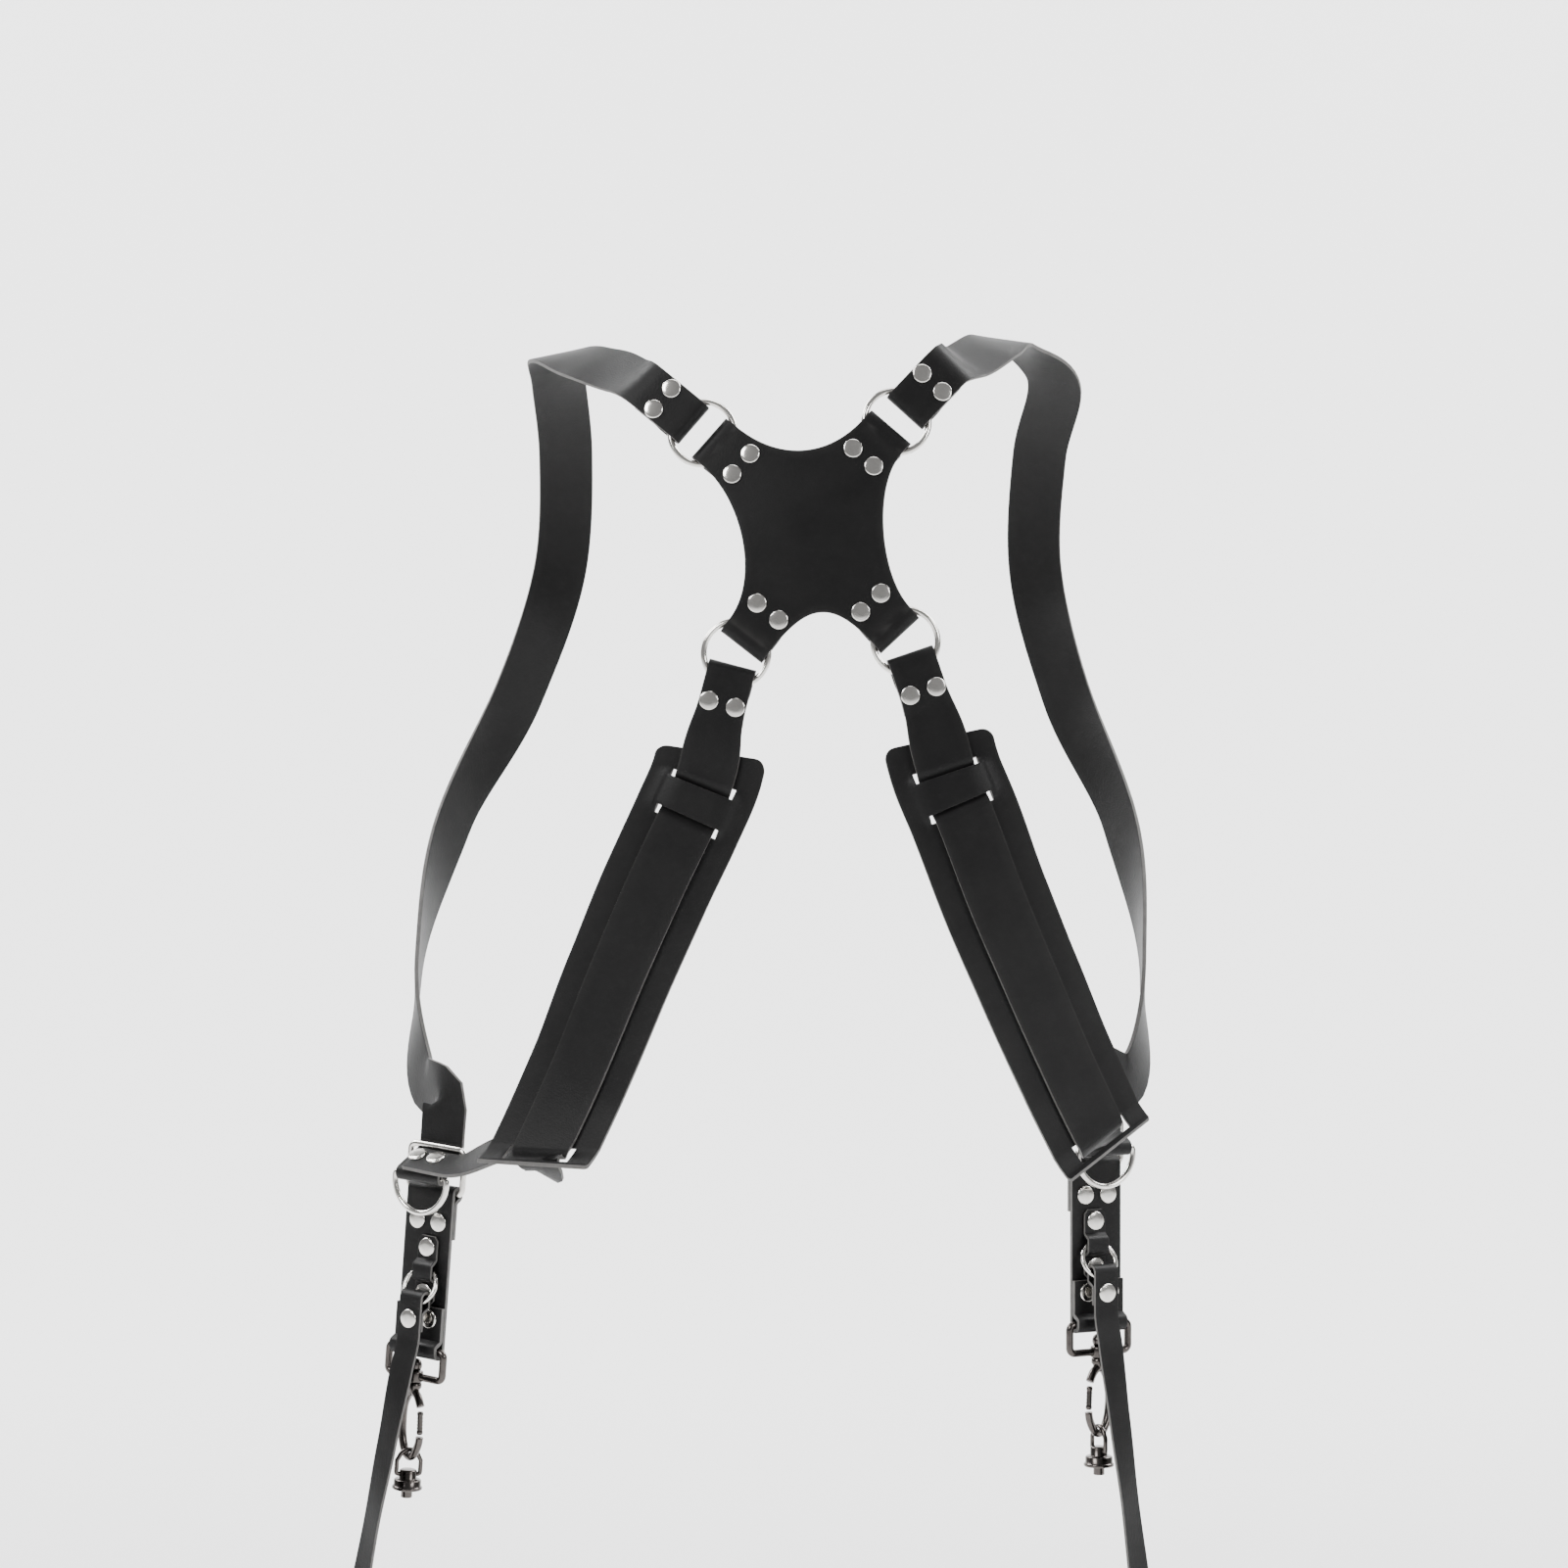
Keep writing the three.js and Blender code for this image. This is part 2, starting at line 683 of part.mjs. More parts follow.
const SIDES = [
  {
    name: "left",
    side: -1,
    hip: { out: 0.915, back: 0.466, down: 1, turn: 33, lean: -5 },
    shoulder: [
      { out: 0.49, back: 0.7, down: 0.056, turn: 18, rise: 35 },
      { out: 0.6, back: 0.47, down: 0.035, turn: 24, rise: 52 },
      { out: 0.695, back: 0.13, down: 0.017, turn: 30, rise: 72 },
    ],
    padded: [
      { out: 0.22, back: 1.02, down: 0.53, turn: 5, rise: 2 },
      { out: 0.262, back: 1.025, down: 0.578, turn: 6, rise: 0 },
      { out: 0.335, back: 1.017, down: 0.653, turn: 10, rise: 0 },
      { out: 0.437, back: 0.966, down: 0.767, turn: 18, rise: 0 },
      { out: 0.533, back: 0.905, down: 0.882, turn: 24, rise: 0 },
      { out: 0.622, back: 0.915, down: 0.974, turn: 27, rise: 0 },
    ],
    padTip: { out: 0.652, back: 0.925, down: 1.002, turn: 27, rise: 0 },
    tipSkew: 22,
  },
  {
    name: "right",
    side: 1,
    hip: { out: 0.87, back: 0.466, down: 0.968, turn: 28, lean: 0 },
    shoulder: [
      { out: 0.43, back: 0.68, down: 0.04, turn: 12, rise: 36 },
      { out: 0.505, back: 0.42, down: 0.014, turn: 18, rise: 55 },
      { out: 0.555, back: 0.11, down: 0, turn: 20, rise: 76 },
    ],
    padded: [
      { out: 0.418, back: 1.02, down: 0.529, turn: 5, rise: 2 },
      { out: 0.463, back: 1.025, down: 0.572, turn: 6, rise: 0 },
      { out: 0.555, back: 1.006, down: 0.668, turn: 11, rise: 0 },
      { out: 0.66, back: 0.966, down: 0.767, turn: 17, rise: 0 },
      { out: 0.786, back: 0.86, down: 0.88, turn: 23, rise: 0 },
      { out: 0.878, back: 0.803, down: 0.957, turn: 25, rise: 3 },
    ],
    padTip: { out: 0.9, back: 0.775, down: 0.975, turn: 26, rise: 3 },
    tipSkew: 0,
  },
];

// Down the chest and round the side to the hip ring, alike on both sides.
const CHEST = [
  { out: 0.705, back: -0.3, down: 0.035, turn: 150, rise: 58 },
  { out: 0.69, back: -0.72, down: 0.12, turn: 168, rise: 28 },
  { out: 0.7, back: -0.95, down: 0.26, turn: 166, rise: 6 },
  { out: 0.8, back: -0.86, down: 0.42, turn: 150, rise: 0 },
  { out: 0.955, back: -0.52, down: 0.58, turn: 122, rise: 0 },
  { out: 1.02, back: -0.08, down: 0.77, turn: 88, rise: 0 },
  { out: 0.975, back: 0.22, down: 0.9, turn: 55, rise: 0 },
];

// The frame of a hip ring: X across it, Y up and Z away from the wearer.
function hipFrame(place) {
  const { side, hip } = place;
  const out = outward(side, hip.turn, 0);
  const across = new THREE.Vector3().crossVectors(Z, out);
  const basis = new THREE.Matrix4().makeBasis(across, Z.clone(), out);
  basis.multiply(new THREE.Matrix4().makeRotationZ(rad(hip.lean)));
  return basis.setPosition(onForm(side, hip));
}

const HIP_FOLD = HIP_RING_WIRE + GAP + STRAP_THICK / 2;
const D_FOLD = D_RING_WIRE + GAP + STRAP_THICK / 2;
const TOP_BAR = HIP_RING_HEIGHT / 2;
const shelfDown = Math.cos(rad(SHELF_ANGLE));
const shelfOut = Math.sin(rad(SHELF_ANGLE));

// A place of the shelf in the hip ring's frame: across it, along it from the ring's top bar,
// and above its middle.
function onShelf(across, along, above) {
  return new THREE.Vector3(
    across,
    TOP_BAR - HIP_FOLD * shelfOut - along * shelfDown + above * shelfOut,
    -HIP_FOLD * shelfDown + along * shelfOut + above * shelfDown,
  );
}

// A half width that eases from a narrow end, where s is zero, to the strap's own.
function taper(narrow, wide, from, length) {
  return (s) => (narrow + (wide - narrow) * smooth((s - from) / length)) / 2;
}

// The start of a strap's route at one of the plate's rings: straight away from the ring.
function ringStart(armName) {
  const arm = ARMS.find((one) => one.name === armName);
  const frame = ringFrame(arm, arm.strap);
  const at = (y) => new THREE.Vector3(0, y, 0).applyMatrix4(frame);
  const normal = new THREE.Vector3().setFromMatrixColumn(frame, 2);
  return { points: [at(0), at(TAIL_LENGTH + 2)], normals: [normal, normal.clone()] };
}

// Over the shoulder, down the chest, behind the hip ring's top bar, out through the ring and
// round the bar of the D-ring.
function shoulderStrap(place) {
  const { name, side } = place;
  const start = ringStart(`upper_${name}`);
  const rows = [...place.shoulder, ...CHEST];
  const hip = hipFrame(place);
  const behind = (y) => new THREE.Vector3(0, y, -HIP_FOLD).applyMatrix4(hip);
  const hipOut = new THREE.Vector3().setFromMatrixColumn(hip, 2);
  const points = [...start.points, ...rows.map((row) => onForm(side, row))];
  const normals = [...start.normals, ...rows.map((row) => outward(side, row.turn, row.rise))];
  points.push(behind(TOP_BAR + 22), behind(TOP_BAR));
  normals.push(hipOut, hipOut.clone());
  const route = new Route(points, normals);
  const wireAt = foldAt(RING_END_WIDTH);
  const pen = foldedStart(wireAt, O_RING_FOLD, O_RING_CAVITY, TAIL_LENGTH);
  pen.run(TAIL_LENGTH - wireAt, 2);
  pen.run(route.length - TAIL_LENGTH, 34);
  pen.turn(HIP_FOLD, SHELF_ANGLE, 3).run(SHELF_RUN, 2);
  foldEnd(pen, D_FOLD, D_RING_WIRE, SHELF_TAIL, -1);
  const upper = taper(RING_END_WIDTH, STRAP_WIDTH, TAIL_LENGTH, TAPER_LENGTH);
  const lower = taper(STRAP_WIDTH, SHELF_WIDTH, route.length - TAPER_LENGTH, TAPER_LENGTH - 5);
  const half = (s) => Math.min(upper(s), lower(s));
  const skin = strip(pen.points, STRAP_THICK, half, (s, w, n) => route.place(s, w, n));
  const holes = rivetPair(
    harness,
    `rivet_shoulder_${name}`,
    route.frameAt(RIVET_SETBACK),
    foldedPairTop,
    foldedPairBottom,
    RIVET_SPACING,
  );
  add(harness, `shoulder_strap_${name}`, cut(skin, holes), leather);
}

// How a side strap ends on its shelf, in the shelf's own measures, with its outward direction
// as shares of the shelf's upward side, across and along.
const SHELF_ENDS = {
  left: {
    rows: [
      { across: 73.5, along: 7.4, above: 3.2 },
      { across: 50, along: -0.7, above: 8.8 },
      { across: 18, along: 14, above: 2.6 },
      { across: -8, along: 12.6, above: 2.5 },
    ],
    normals: [
      { above: -0.5, across: 0, along: 0.84 },
      { above: -0.95, across: 0, along: -0.3 },
      { above: -1, across: 0, along: 0 },
      { above: -1, across: 0, along: 0 },
    ],
  },
  right: {
    rows: [
      { across: -13, along: 31, above: 6.5 },
      { across: -5, along: 14.5, above: 2.5 },
      { across: -3, along: 3.2, above: 2.5 },
    ],
    normals: [
      { above: -0.78, across: 0.46, along: 0.42 },
      { above: -1, across: 0, along: 0 },
      { above: -1, across: 0, along: 0 },
    ],
  },
};

function shelfDirection(hip, { above, across, along }) {
  const from = onShelf(0, 0, 0);
  return onShelf(across, along, above).sub(from).transformDirection(hip);
}

// The way of the pad, and of its strap, which leaves the pad at its last row for the shelf.
function paddedRoute(place, toShelf) {
  const { name, side } = place;
  const start = ringStart(`lower_${name}`);
  const rows = [...place.padded];
  if (!toShelf) rows.push(place.padTip);
  const points = [...start.points, ...rows.map((row) => onForm(side, row))];
  const slot = start.points.length + place.padded.length - 1;
  const straight = onForm(side, place.padTip).sub(points[slot]).normalize();
  const pinned = new Map([[slot, straight]]);
  const normals = [...start.normals, ...rows.map((row) => outward(side, row.turn, row.rise))];
  if (toShelf) {
    const hip = hipFrame(place);
    const end = SHELF_ENDS[name];
    end.rows.forEach((row) => {
      points.push(onShelf(row.across, row.along, row.above).applyMatrix4(hip));
    });
    normals.push(...end.normals.map((row) => shelfDirection(hip, row)));
  }
  return new Route(points, normals, pinned);
}

const SLOTS = [PAD_BRIDGE_START, PAD_BRIDGE_START + PAD_BRIDGE_LENGTH, PAD_LENGTH - PAD_END_MARGIN];

// 1 where the strap lies over the pad and -1 where it lies under it.
function weave(s, half) {
  return SLOTS.reduce((side, slot, i) => {
    const share = smooth((s - PAD_START - slot + half) / (2 * half));
    return side + (i % 2 ? 2 : -2) * share;
  }, 1);
}

const STRAP_WEAVE = 0.65 * PAD_SLOT_WIDTH;
const PAD_WEAVE = PAD_SLOT_WIDTH / 2;

// Places along the pad between its second and third slot, where pad and strap both bend.
function betweenSlots() {
  const first = SLOTS[1] + 8;
  const last = SLOTS[2] - 8;
  const count = 15;
  return Array.from({ length: count }, (_, i) => first + ((last - first) * i) / (count - 1));
}

// How far the leather is skewed along itself near the pad's end: a share of the skew, which a
// strap loses again between the last slot and its own end.
function skewShare(s, last = Infinity) {
  const slot = PAD_START + SLOTS[2];
  const back = smooth((s - slot) / (last - slot));
  return smooth((s - slot + PAD_WIDTH) / PAD_WIDTH) * (1 - back);
}

// Down from the plate's lower ring, woven through the pad's slots and on to the shelf.
function sideStrap(place, route) {
  const wireAt = foldAt(RING_END_WIDTH);
  const pen = foldedStart(wireAt, O_RING_FOLD, O_RING_CAVITY, TAIL_LENGTH);
  pen.run(TAIL_LENGTH - wireAt, 2);
  const stops = [];
  SLOTS.forEach((slot) => {
    [-1, -0.5, 0, 0.5, 1].forEach((k) => stops.push(PAD_START + slot + k * STRAP_WEAVE));
  });
  betweenSlots().forEach((x) => stops.push(PAD_START + x));
  const last = route.length;
  const padEnd = PAD_START + PAD_LENGTH;
  const count = Math.max(Math.ceil((last - padEnd) / 5), 1);
  for (let i = 0; i <= count; i++) {
    stops.push(padEnd + ((last - padEnd) * i) / count);
  }
  stops.push((TAIL_LENGTH + PAD_START) / 2, PAD_START, PAD_START + SLOTS[0] / 2);
  stops.push(PAD_START + (SLOTS[0] + SLOTS[1]) / 2);
  stops.sort((a, b) => a - b);
  const easeIn = (s) => smooth((s - TAIL_LENGTH) / (PAD_START - TAIL_LENGTH));
  const easeOut = (s) => 1 - smooth((s - padEnd) / (last - padEnd));
  const lift = (s) => (PAD_LAYER / 2) * (weave(s, STRAP_WEAVE) * easeIn(s) * easeOut(s));
  stops.forEach((s) => pen.points.push(new THREE.Vector2(s, lift(s))));
  const upper = taper(RING_END_WIDTH, STRAP_WIDTH, TAIL_LENGTH - 10, 0.5 * TAPER_LENGTH);
  const slot = PAD_START + SLOTS[2];
  const lower = taper(STRAP_WIDTH, SIDE_END_WIDTH, slot - 0.15 * TAPER_LENGTH, 0.6 * TAPER_LENGTH);
  const half = (s) => Math.min(upper(s), lower(s));
  const skew = Math.tan(rad(place.tipSkew));
  const skin = strip(pen.points, STRAP_THICK, half, (s, w, n) =>
    route.place(s, w, n, skew * skewShare(s, last)));
  const holes = rivetPair(
    harness,
    `rivet_side_${place.name}`,
    route.frameAt(RIVET_SETBACK),
    foldedPairTop,
    foldedPairBottom,
    RIVET_SPACING,
  );
  add(harness, `side_strap_${place.name}`, cut(skin, holes), leather);
}

// The pad's edge view past its last slot, where its end bends outwards: how far along and how
// far out a place of the pad lies, and how far its surface is turned.
function padTip(x) {
  const start = SLOTS[2] + PAD_WEAVE;
  const past = Math.max(x - start, 0);
  const angle = Math.min(past / PAD_TIP_RADIUS, rad(PAD_TIP_ANGLE));
  const rest = past - angle * PAD_TIP_RADIUS;
  return {
    along: Math.min(x, start) + PAD_TIP_RADIUS * Math.sin(angle) + rest * Math.cos(angle),
    out: PAD_TIP_RADIUS * (1 - Math.cos(angle)) + rest * Math.sin(angle),
    angle,
  };
}

// A wide pad of the same leather, with a bridge over the strap near its top.
function pad(place, route) {
  const half = PAD_WIDTH / 2;
  const bridgeHalf = STRAP_WIDTH / 2 + 2;
  const bridgeEdge = bridgeHalf + 4;
  const skew = Math.tan(rad(place.tipSkew));
  const stops = [0, 1, 3, PAD_CORNER, 11, ...betweenSlots()];
  SLOTS.forEach((slot) => stops.push(slot - PAD_WEAVE, slot + PAD_WEAVE));
  stops.push((SLOTS[0] + SLOTS[1]) / 2);
  [4, PAD_END_CORNER, 0.4, 0].forEach((inset) => stops.push(PAD_LENGTH - inset));
  stops.sort((a, b) => a - b);
  const halfAt = (x) => {
    const corner = x < PAD_LENGTH / 2 ? PAD_CORNER : PAD_END_CORNER;
    const inset = Math.max(corner - Math.min(x, PAD_LENGTH - x), 0);
    return half - corner + Math.sqrt(corner ** 2 - inset ** 2);
  };
  const heightAt = (x, w) => {
    const middle = 1 - smooth((Math.abs(w) - bridgeHalf) / (bridgeEdge - bridgeHalf));
    const past = smooth((x - SLOTS[2] + PAD_WEAVE) / (2 * PAD_WEAVE));
    const woven = (1 - weave(PAD_START + x, PAD_WEAVE)) / 2;
    return PAD_LAYER * (Math.max(woven * middle, past) - 0.5);
  };
  const rings = stops.map((x) => {
    const edge = halfAt(x);
    const across = [-edge, -bridgeEdge, -bridgeHalf, bridgeHalf, bridgeEdge, edge];
    const tip = padTip(x);
    const slant = skew * skewShare(PAD_START + x);
    const at = (w, n) => route.place(
      PAD_START + tip.along - n * Math.sin(tip.angle),
      w,
      heightAt(x, w) + tip.out + n * Math.cos(tip.angle),
      slant,
    );
    return [
      ...across.map((w) => at(w, STRAP_THICK / 2)),
      ...across.reverse().map((w) => at(w, -STRAP_THICK / 2)),
    ];
  });
  const tools = SLOTS.map((slot, i) => {
    const angle = Math.atan(skew * skewShare(PAD_START + slot));
    const width = i < 2 ? PAD_SLOT_WIDTH : PAD_END_SLOT_WIDTH;
    const tool = new THREE.BoxGeometry((2 * bridgeHalf) / Math.cos(angle), width, 5 * LAYER);
    tool.rotateZ(angle);
    return tool.applyMatrix4(route.frameAt(PAD_START + slot));
  });
  add(harness, `pad_${place.name}`, cut(loft(rings), tools), leather);
}

// Hips

const TAB_MIDDLE = HIP_FOLD;
const LOOP_FOLD = LOOP_WIRE + GAP + STRAP_THICK / 2;
const LOOP_DROP = HIP_RING_HEIGHT / 2 + TAB_LENGTH;
const LOOP_OUT = TAB_MIDDLE + LOOP_FOLD;
const TAB_TOP = TAB_MIDDLE + STRAP_THICK / 2;
const KEEPER_MIDDLE = TAB_TOP + GAP + LEASH_THICK / 2;
const tabPlace = (s, w, n) => new THREE.Vector3(w, -HIP_RING_HEIGHT / 2 - s, TAB_MIDDLE + n);
const tabFrame = (s, w = 0) =>
  new THREE.Matrix4().makeTranslation(w, -HIP_RING_HEIGHT / 2 - s, TAB_MIDDLE);

function hipRing(parent, name) {
  const loop = roundedLoop(HIP_RING_WIDTH, HIP_RING_HEIGHT, 3.5);
  add(parent, `hip_ring_${name}`, wire(loop, HIP_RING_WIRE, WIRE_SIDES), nickel);
}

// The D-ring hangs from its straight bar, which lies in the fold at the shelf's outer end.
function dRing(parent, name) {
  const radius = D_RING_WIDTH / 2;
  const drop = D_RING_HEIGHT - radius;
  const outline = [
    new THREE.Vector2(radius - 2, 0),
    new THREE.Vector2(2 - radius, 0),
    ...arc(0, -drop, radius, 180, 360, 12),
  ];
  const bar = onShelf(0, SHELF_RUN, -D_FOLD);
  const ring = add(parent, `d_ring_${name}`, wire(outline, D_RING_WIRE, WIRE_SIDES), nickel);
  ring.position.copy(bar);
}

// The tab hangs from the hip ring's lower bar and holds the snap hook's loop in its lower fold.
function tab(parent, name, side) {
  const outer = (side * TAB_RIVET_SPACING) / 2;
  const pen = foldedStart(0, HIP_FOLD, HIP_RING_WIRE, TAB_UPPER_TAIL);
  pen.run(TAB_LENGTH, 4);
  foldEnd(pen, LOOP_FOLD, LOOP_WIRE, TAB_LOWER_TAIL, 1);
  const skin = strip(pen.points, STRAP_THICK, () => TAB_WIDTH / 2, tabPlace);
  const lowerRivet = TAB_LENGTH - TAB_LOWER_RIVET_RISE;
  const keeperTop = KEEPER_MIDDLE - TAB_MIDDLE + LEASH_THICK / 2;
  const holes = [
    ...rivetPair(parent, `rivet_tab_top_${name}`, tabFrame(TAB_RIVET_DROP), STRAP_THICK / 2,
      foldedPairBottom, TAB_RIVET_SPACING),
    addRivet(parent, `rivet_tab_bottom_${name}`, tabFrame(lowerRivet, outer),
      LAYER + STRAP_THICK / 2, -STRAP_THICK / 2),
    ...[0, 1].map((i) => addRivet(
      parent,
      `rivet_keeper_${i ? "lower" : "upper"}_${name}`,
      tabFrame(KEEPER_RIVET_DROP + i * KEEPER_RIVET_PITCH, -side * KEEPER_OFFSET),
      keeperTop,
      -STRAP_THICK / 2,
    )),
  ];
  add(parent, `hip_tab_${name}`, cut(skin, holes), leather);
  return holes;
}

// The leash ring's middle lies below the keeper's crest, and the ring leans away from the tab.
const leanDown = Math.cos(rad(LEASH_RING_TILT));
const leanOut = Math.sin(rad(LEASH_RING_TILT));
const chordDrop = (width, radius = LEASH_RING_RADIUS) =>
  LEASH_RING_RADIUS - Math.sqrt(radius ** 2 - (width / 2) ** 2);
const KEEPER_ABOVE = LEASH_RING_WIRE + GAP;
const KEEPER_BELOW = chordDrop(KEEPER_WIDTH, LEASH_RING_RADIUS - LEASH_RING_WIRE - GAP) * leanDown;
const LEASH_RING_DROP =
  KEEPER_RIVET_DROP + KEEPER_RIVET_PITCH - RIVET_RADIUS - KEEPER_EASING - KEEPER_BELOW;
const LEASH_RING_TOP = new THREE.Vector3(
  0,
  -HIP_RING_HEIGHT / 2 - LEASH_RING_DROP,
  TAB_TOP + GAP + LEASH_RING_WIRE,
);

// A narrow strip riveted over the leash ring.
function keeper(parent, name, side, holes) {
  const bump = 2 * LEASH_RING_WIRE + GAP + chordDrop(KEEPER_WIDTH) * leanOut;
  const crest = KEEPER_ABOVE + KEEPER_BELOW;
  const pen = new Layer(KEEPER_RIVET_DROP - KEEPER_MARGIN, 0, 0);
  pen.run(LEASH_RING_DROP - KEEPER_ABOVE - KEEPER_EASING - pen.end.x);
  pen.ease(KEEPER_EASING, bump).run(crest).ease(KEEPER_EASING, -bump);
  pen.run(KEEPER_RIVET_DROP + KEEPER_RIVET_PITCH + KEEPER_MARGIN - pen.end.x);
  const skin = strip(pen.points, LEASH_THICK, () => KEEPER_WIDTH / 2, (s, w, n) =>
    tabPlace(s, w - side * KEEPER_OFFSET, n + KEEPER_MIDDLE - TAB_MIDDLE));
  add(parent, `keeper_${name}`, cut(skin, holes), leather);
}

function leashRing(parent, name, side) {
  const geometry = new THREE.TorusGeometry(LEASH_RING_RADIUS, LEASH_RING_WIRE, WIRE_SIDES, RING_STEPS);
  const ring = add(parent, `leash_ring_${name}`, geometry, nickel);
  ring.rotation.x = rad(-LEASH_RING_TILT);
  ring.position.copy(LEASH_RING_TOP);
  ring.position.x = -side * KEEPER_OFFSET;
  ring.position.y -= LEASH_RING_RADIUS * leanDown;
  ring.position.z += LEASH_RING_RADIUS * leanOut;
}

// The leash's way down, in shares of its drop, with its outward sway and its distance from the
// hip ring's plane in shares of the chest's width, and its twist in degrees.
const LEASH = [
  { down: 0.22, sway: 0, out: 0.054, twist: 0 },
  { down: 0.45, sway: 0.009, out: 0.063, twist: 12 },
  { down: 0.7, sway: 0.022, out: 0.068, twist: 22 },
  { down: 1, sway: 0.042, out: 0.066, twist: 12 },
];

function leash(parent, name, side) {
  const clearance = 1.3;
  const fold = LEASH_RING_WIRE + clearance + LEASH_THICK / 2;
  const bow = chordDrop(LEASH_WIDTH);
  const reach = 2 * LEASH_RING_RADIUS - bow;
  const middle = 2 * LEASH_RING_RADIUS - bow / 2;
  const start = -side * KEEPER_OFFSET;
  const top = new THREE.Vector3(
    start,
    LEASH_RING_TOP.y - reach * leanDown + GAP,
    LEASH_RING_TOP.z + middle * leanOut + fold,
  );
  const cavity = bow * leanDown + LEASH_RING_WIRE + 2 * GAP;
  const straight = LEASH_TAIL + 3;
  const points = [top, top.clone().setY(top.y - straight)];
  const normals = [Z.clone(), Z.clone()];
  LEASH.forEach((row) => {
    const x = start + side * row.sway * CHEST_WIDTH;
    points.push(new THREE.Vector3(x, top.y - row.down * LEASH_DROP, row.out * CHEST_WIDTH));
    const twist = rad(side * row.twist);
    normals.push(new THREE.Vector3(Math.sin(twist), 0, Math.cos(twist)));
  });
  const route = new Route(points, normals);
  const layer = LEASH_THICK + GAP;
  const pen = foldedStart(0, fold, cavity, LEASH_TAIL, layer);
  pen.run(straight).run(route.length - straight - LEASH_WIDTH / 2, 12);
  pen.run(0.3 * LEASH_WIDTH, 2).run(0.2 * LEASH_WIDTH, 2);
  const half = (s) => {
    const inset = Math.max(s - route.length + LEASH_WIDTH / 2, 0);
    const round = Math.max((LEASH_WIDTH / 2) ** 2 - inset ** 2, 0);
    return Math.max(Math.sqrt(round), LEASH_WIDTH / 5);
  };
  const skin = strip(pen.points, LEASH_THICK, half, (s, w, n) => route.place(s, w, n));
  add(parent, `leash_${name}`, skin, leather);
}

// Snap hook and camera screw, in a frame whose origin is the middle of the loop's upper bar

const BOSS_MIDDLE = -LOOP_HEIGHT;
const SWIVEL_TOP = BOSS_MIDDLE + BOSS_HEIGHT / 2 + GAP;
const COLLAR_TOP = BOSS_MIDDLE - BOSS_HEIGHT / 2 - GAP;
const HOOK_TOP = COLLAR_TOP - COLLAR_HEIGHT;

function snapLoop(parent, name) {
  const loop = wire(roundedLoop(LOOP_WIDTH, LOOP_HEIGHT, 3), LOOP_WIRE, WIRE_SIDES);
  loop.translate(0, -LOOP_HEIGHT / 2, 0);
  const boss = new THREE.CylinderGeometry(BOSS_RADIUS, BOSS_RADIUS, BOSS_HEIGHT, 10);
  boss.translate(0, BOSS_MIDDLE, 0);
  const bore = SWIVEL_RADIUS + GAP;
  const drill = new THREE.CylinderGeometry(bore, bore, 2 * BOSS_HEIGHT, 10);
  drill.translate(0, BOSS_MIDDLE, 0);
  add(parent, `snap_loop_${name}`, cut(join([loop, boss]), [drill]), gunmetal);
}

// The hook's outline, as shares of its half width and its height: from its collar down the
// spine, round the bottom and up to its nose.
const HOOK = [
  { x: 0, y: 0 },
  { x: -0.5, y: -0.07 },
  { x: -0.93, y: -0.25 },
  { x: -1, y: -0.5 },
  { x: -0.86, y: -0.76 },
  { x: -0.45, y: -0.95 },
  { x: 0, y: -1 },
  { x: 0.45, y: -0.95 },
  { x: 0.86, y: -0.79 },
  { x: 0.98, y: -0.66 },
];
const HOOK_LUG = [
  { x: 0, y: 0 },
  { x: 0.5, y: -0.07 },
  { x: 0.86, y: -0.2 },
];
const onHook = ({ x, y }) => new THREE.Vector2(x * HOOK_HALF_WIDTH, HOOK_TOP + y * HOOK_HEIGHT);

function hookBody(parent, name) {
  const collar = turned(
    [
      [0, HOOK_TOP - 1],
      [COLLAR_RADIUS, HOOK_TOP - 1],
      [COLLAR_RADIUS, COLLAR_TOP],
      [SWIVEL_RADIUS, COLLAR_TOP],
      [SWIVEL_RADIUS, SWIVEL_TOP],
      [0.8 * SWIVEL_HEAD, SWIVEL_TOP],
      [SWIVEL_HEAD, SWIVEL_TOP + 0.6 * SWIVEL_HEAD],
      [0.7 * SWIVEL_HEAD, SWIVEL_TOP + 1.4 * SWIVEL_HEAD],
      [0, SWIVEL_TOP + 1.7 * SWIVEL_HEAD],
    ],
    10,
  ).rotateX(-Math.PI / 2);
  const spine = wire(HOOK.map(onHook), HOOK_WIRE, WIRE_SIDES, false);
  const lug = wire(HOOK_LUG.map(onHook), HOOK_WIRE, WIRE_SIDES, false);
  add(parent, `hook_${name}`, join([collar, spine, lug]), gunmetal);
}

// The gate closes the hook from its lug to its nose, and opens inwards.
function gateEnds() {
  const top = onHook(HOOK_LUG[HOOK_LUG.length - 1]);
  const nose = onHook(HOOK[HOOK.length - 1]);
  const along = nose.clone().sub(top).normalize();
  top.addScaledVector(along, HOOK_WIRE + GAP);
  nose.addScaledVector(along, -(0.5 * HOOK_WIRE + GAP));
  return { top, nose };
}

function gate(parent, name) {
  const { top, nose } = gateEnds();
  add(parent, `gate_${name}`, wire([top, nose], GATE_WIRE, WIRE_SIDES, false), gunmetal);
}

const SCREW_RING_TOP = HOOK_TOP - HOOK_HEIGHT + HOOK_WIRE + GAP + SCREW_RING_WIRE;
const SCREW_PIVOT = SCREW_RING_TOP - SCREW_RING_HEIGHT;

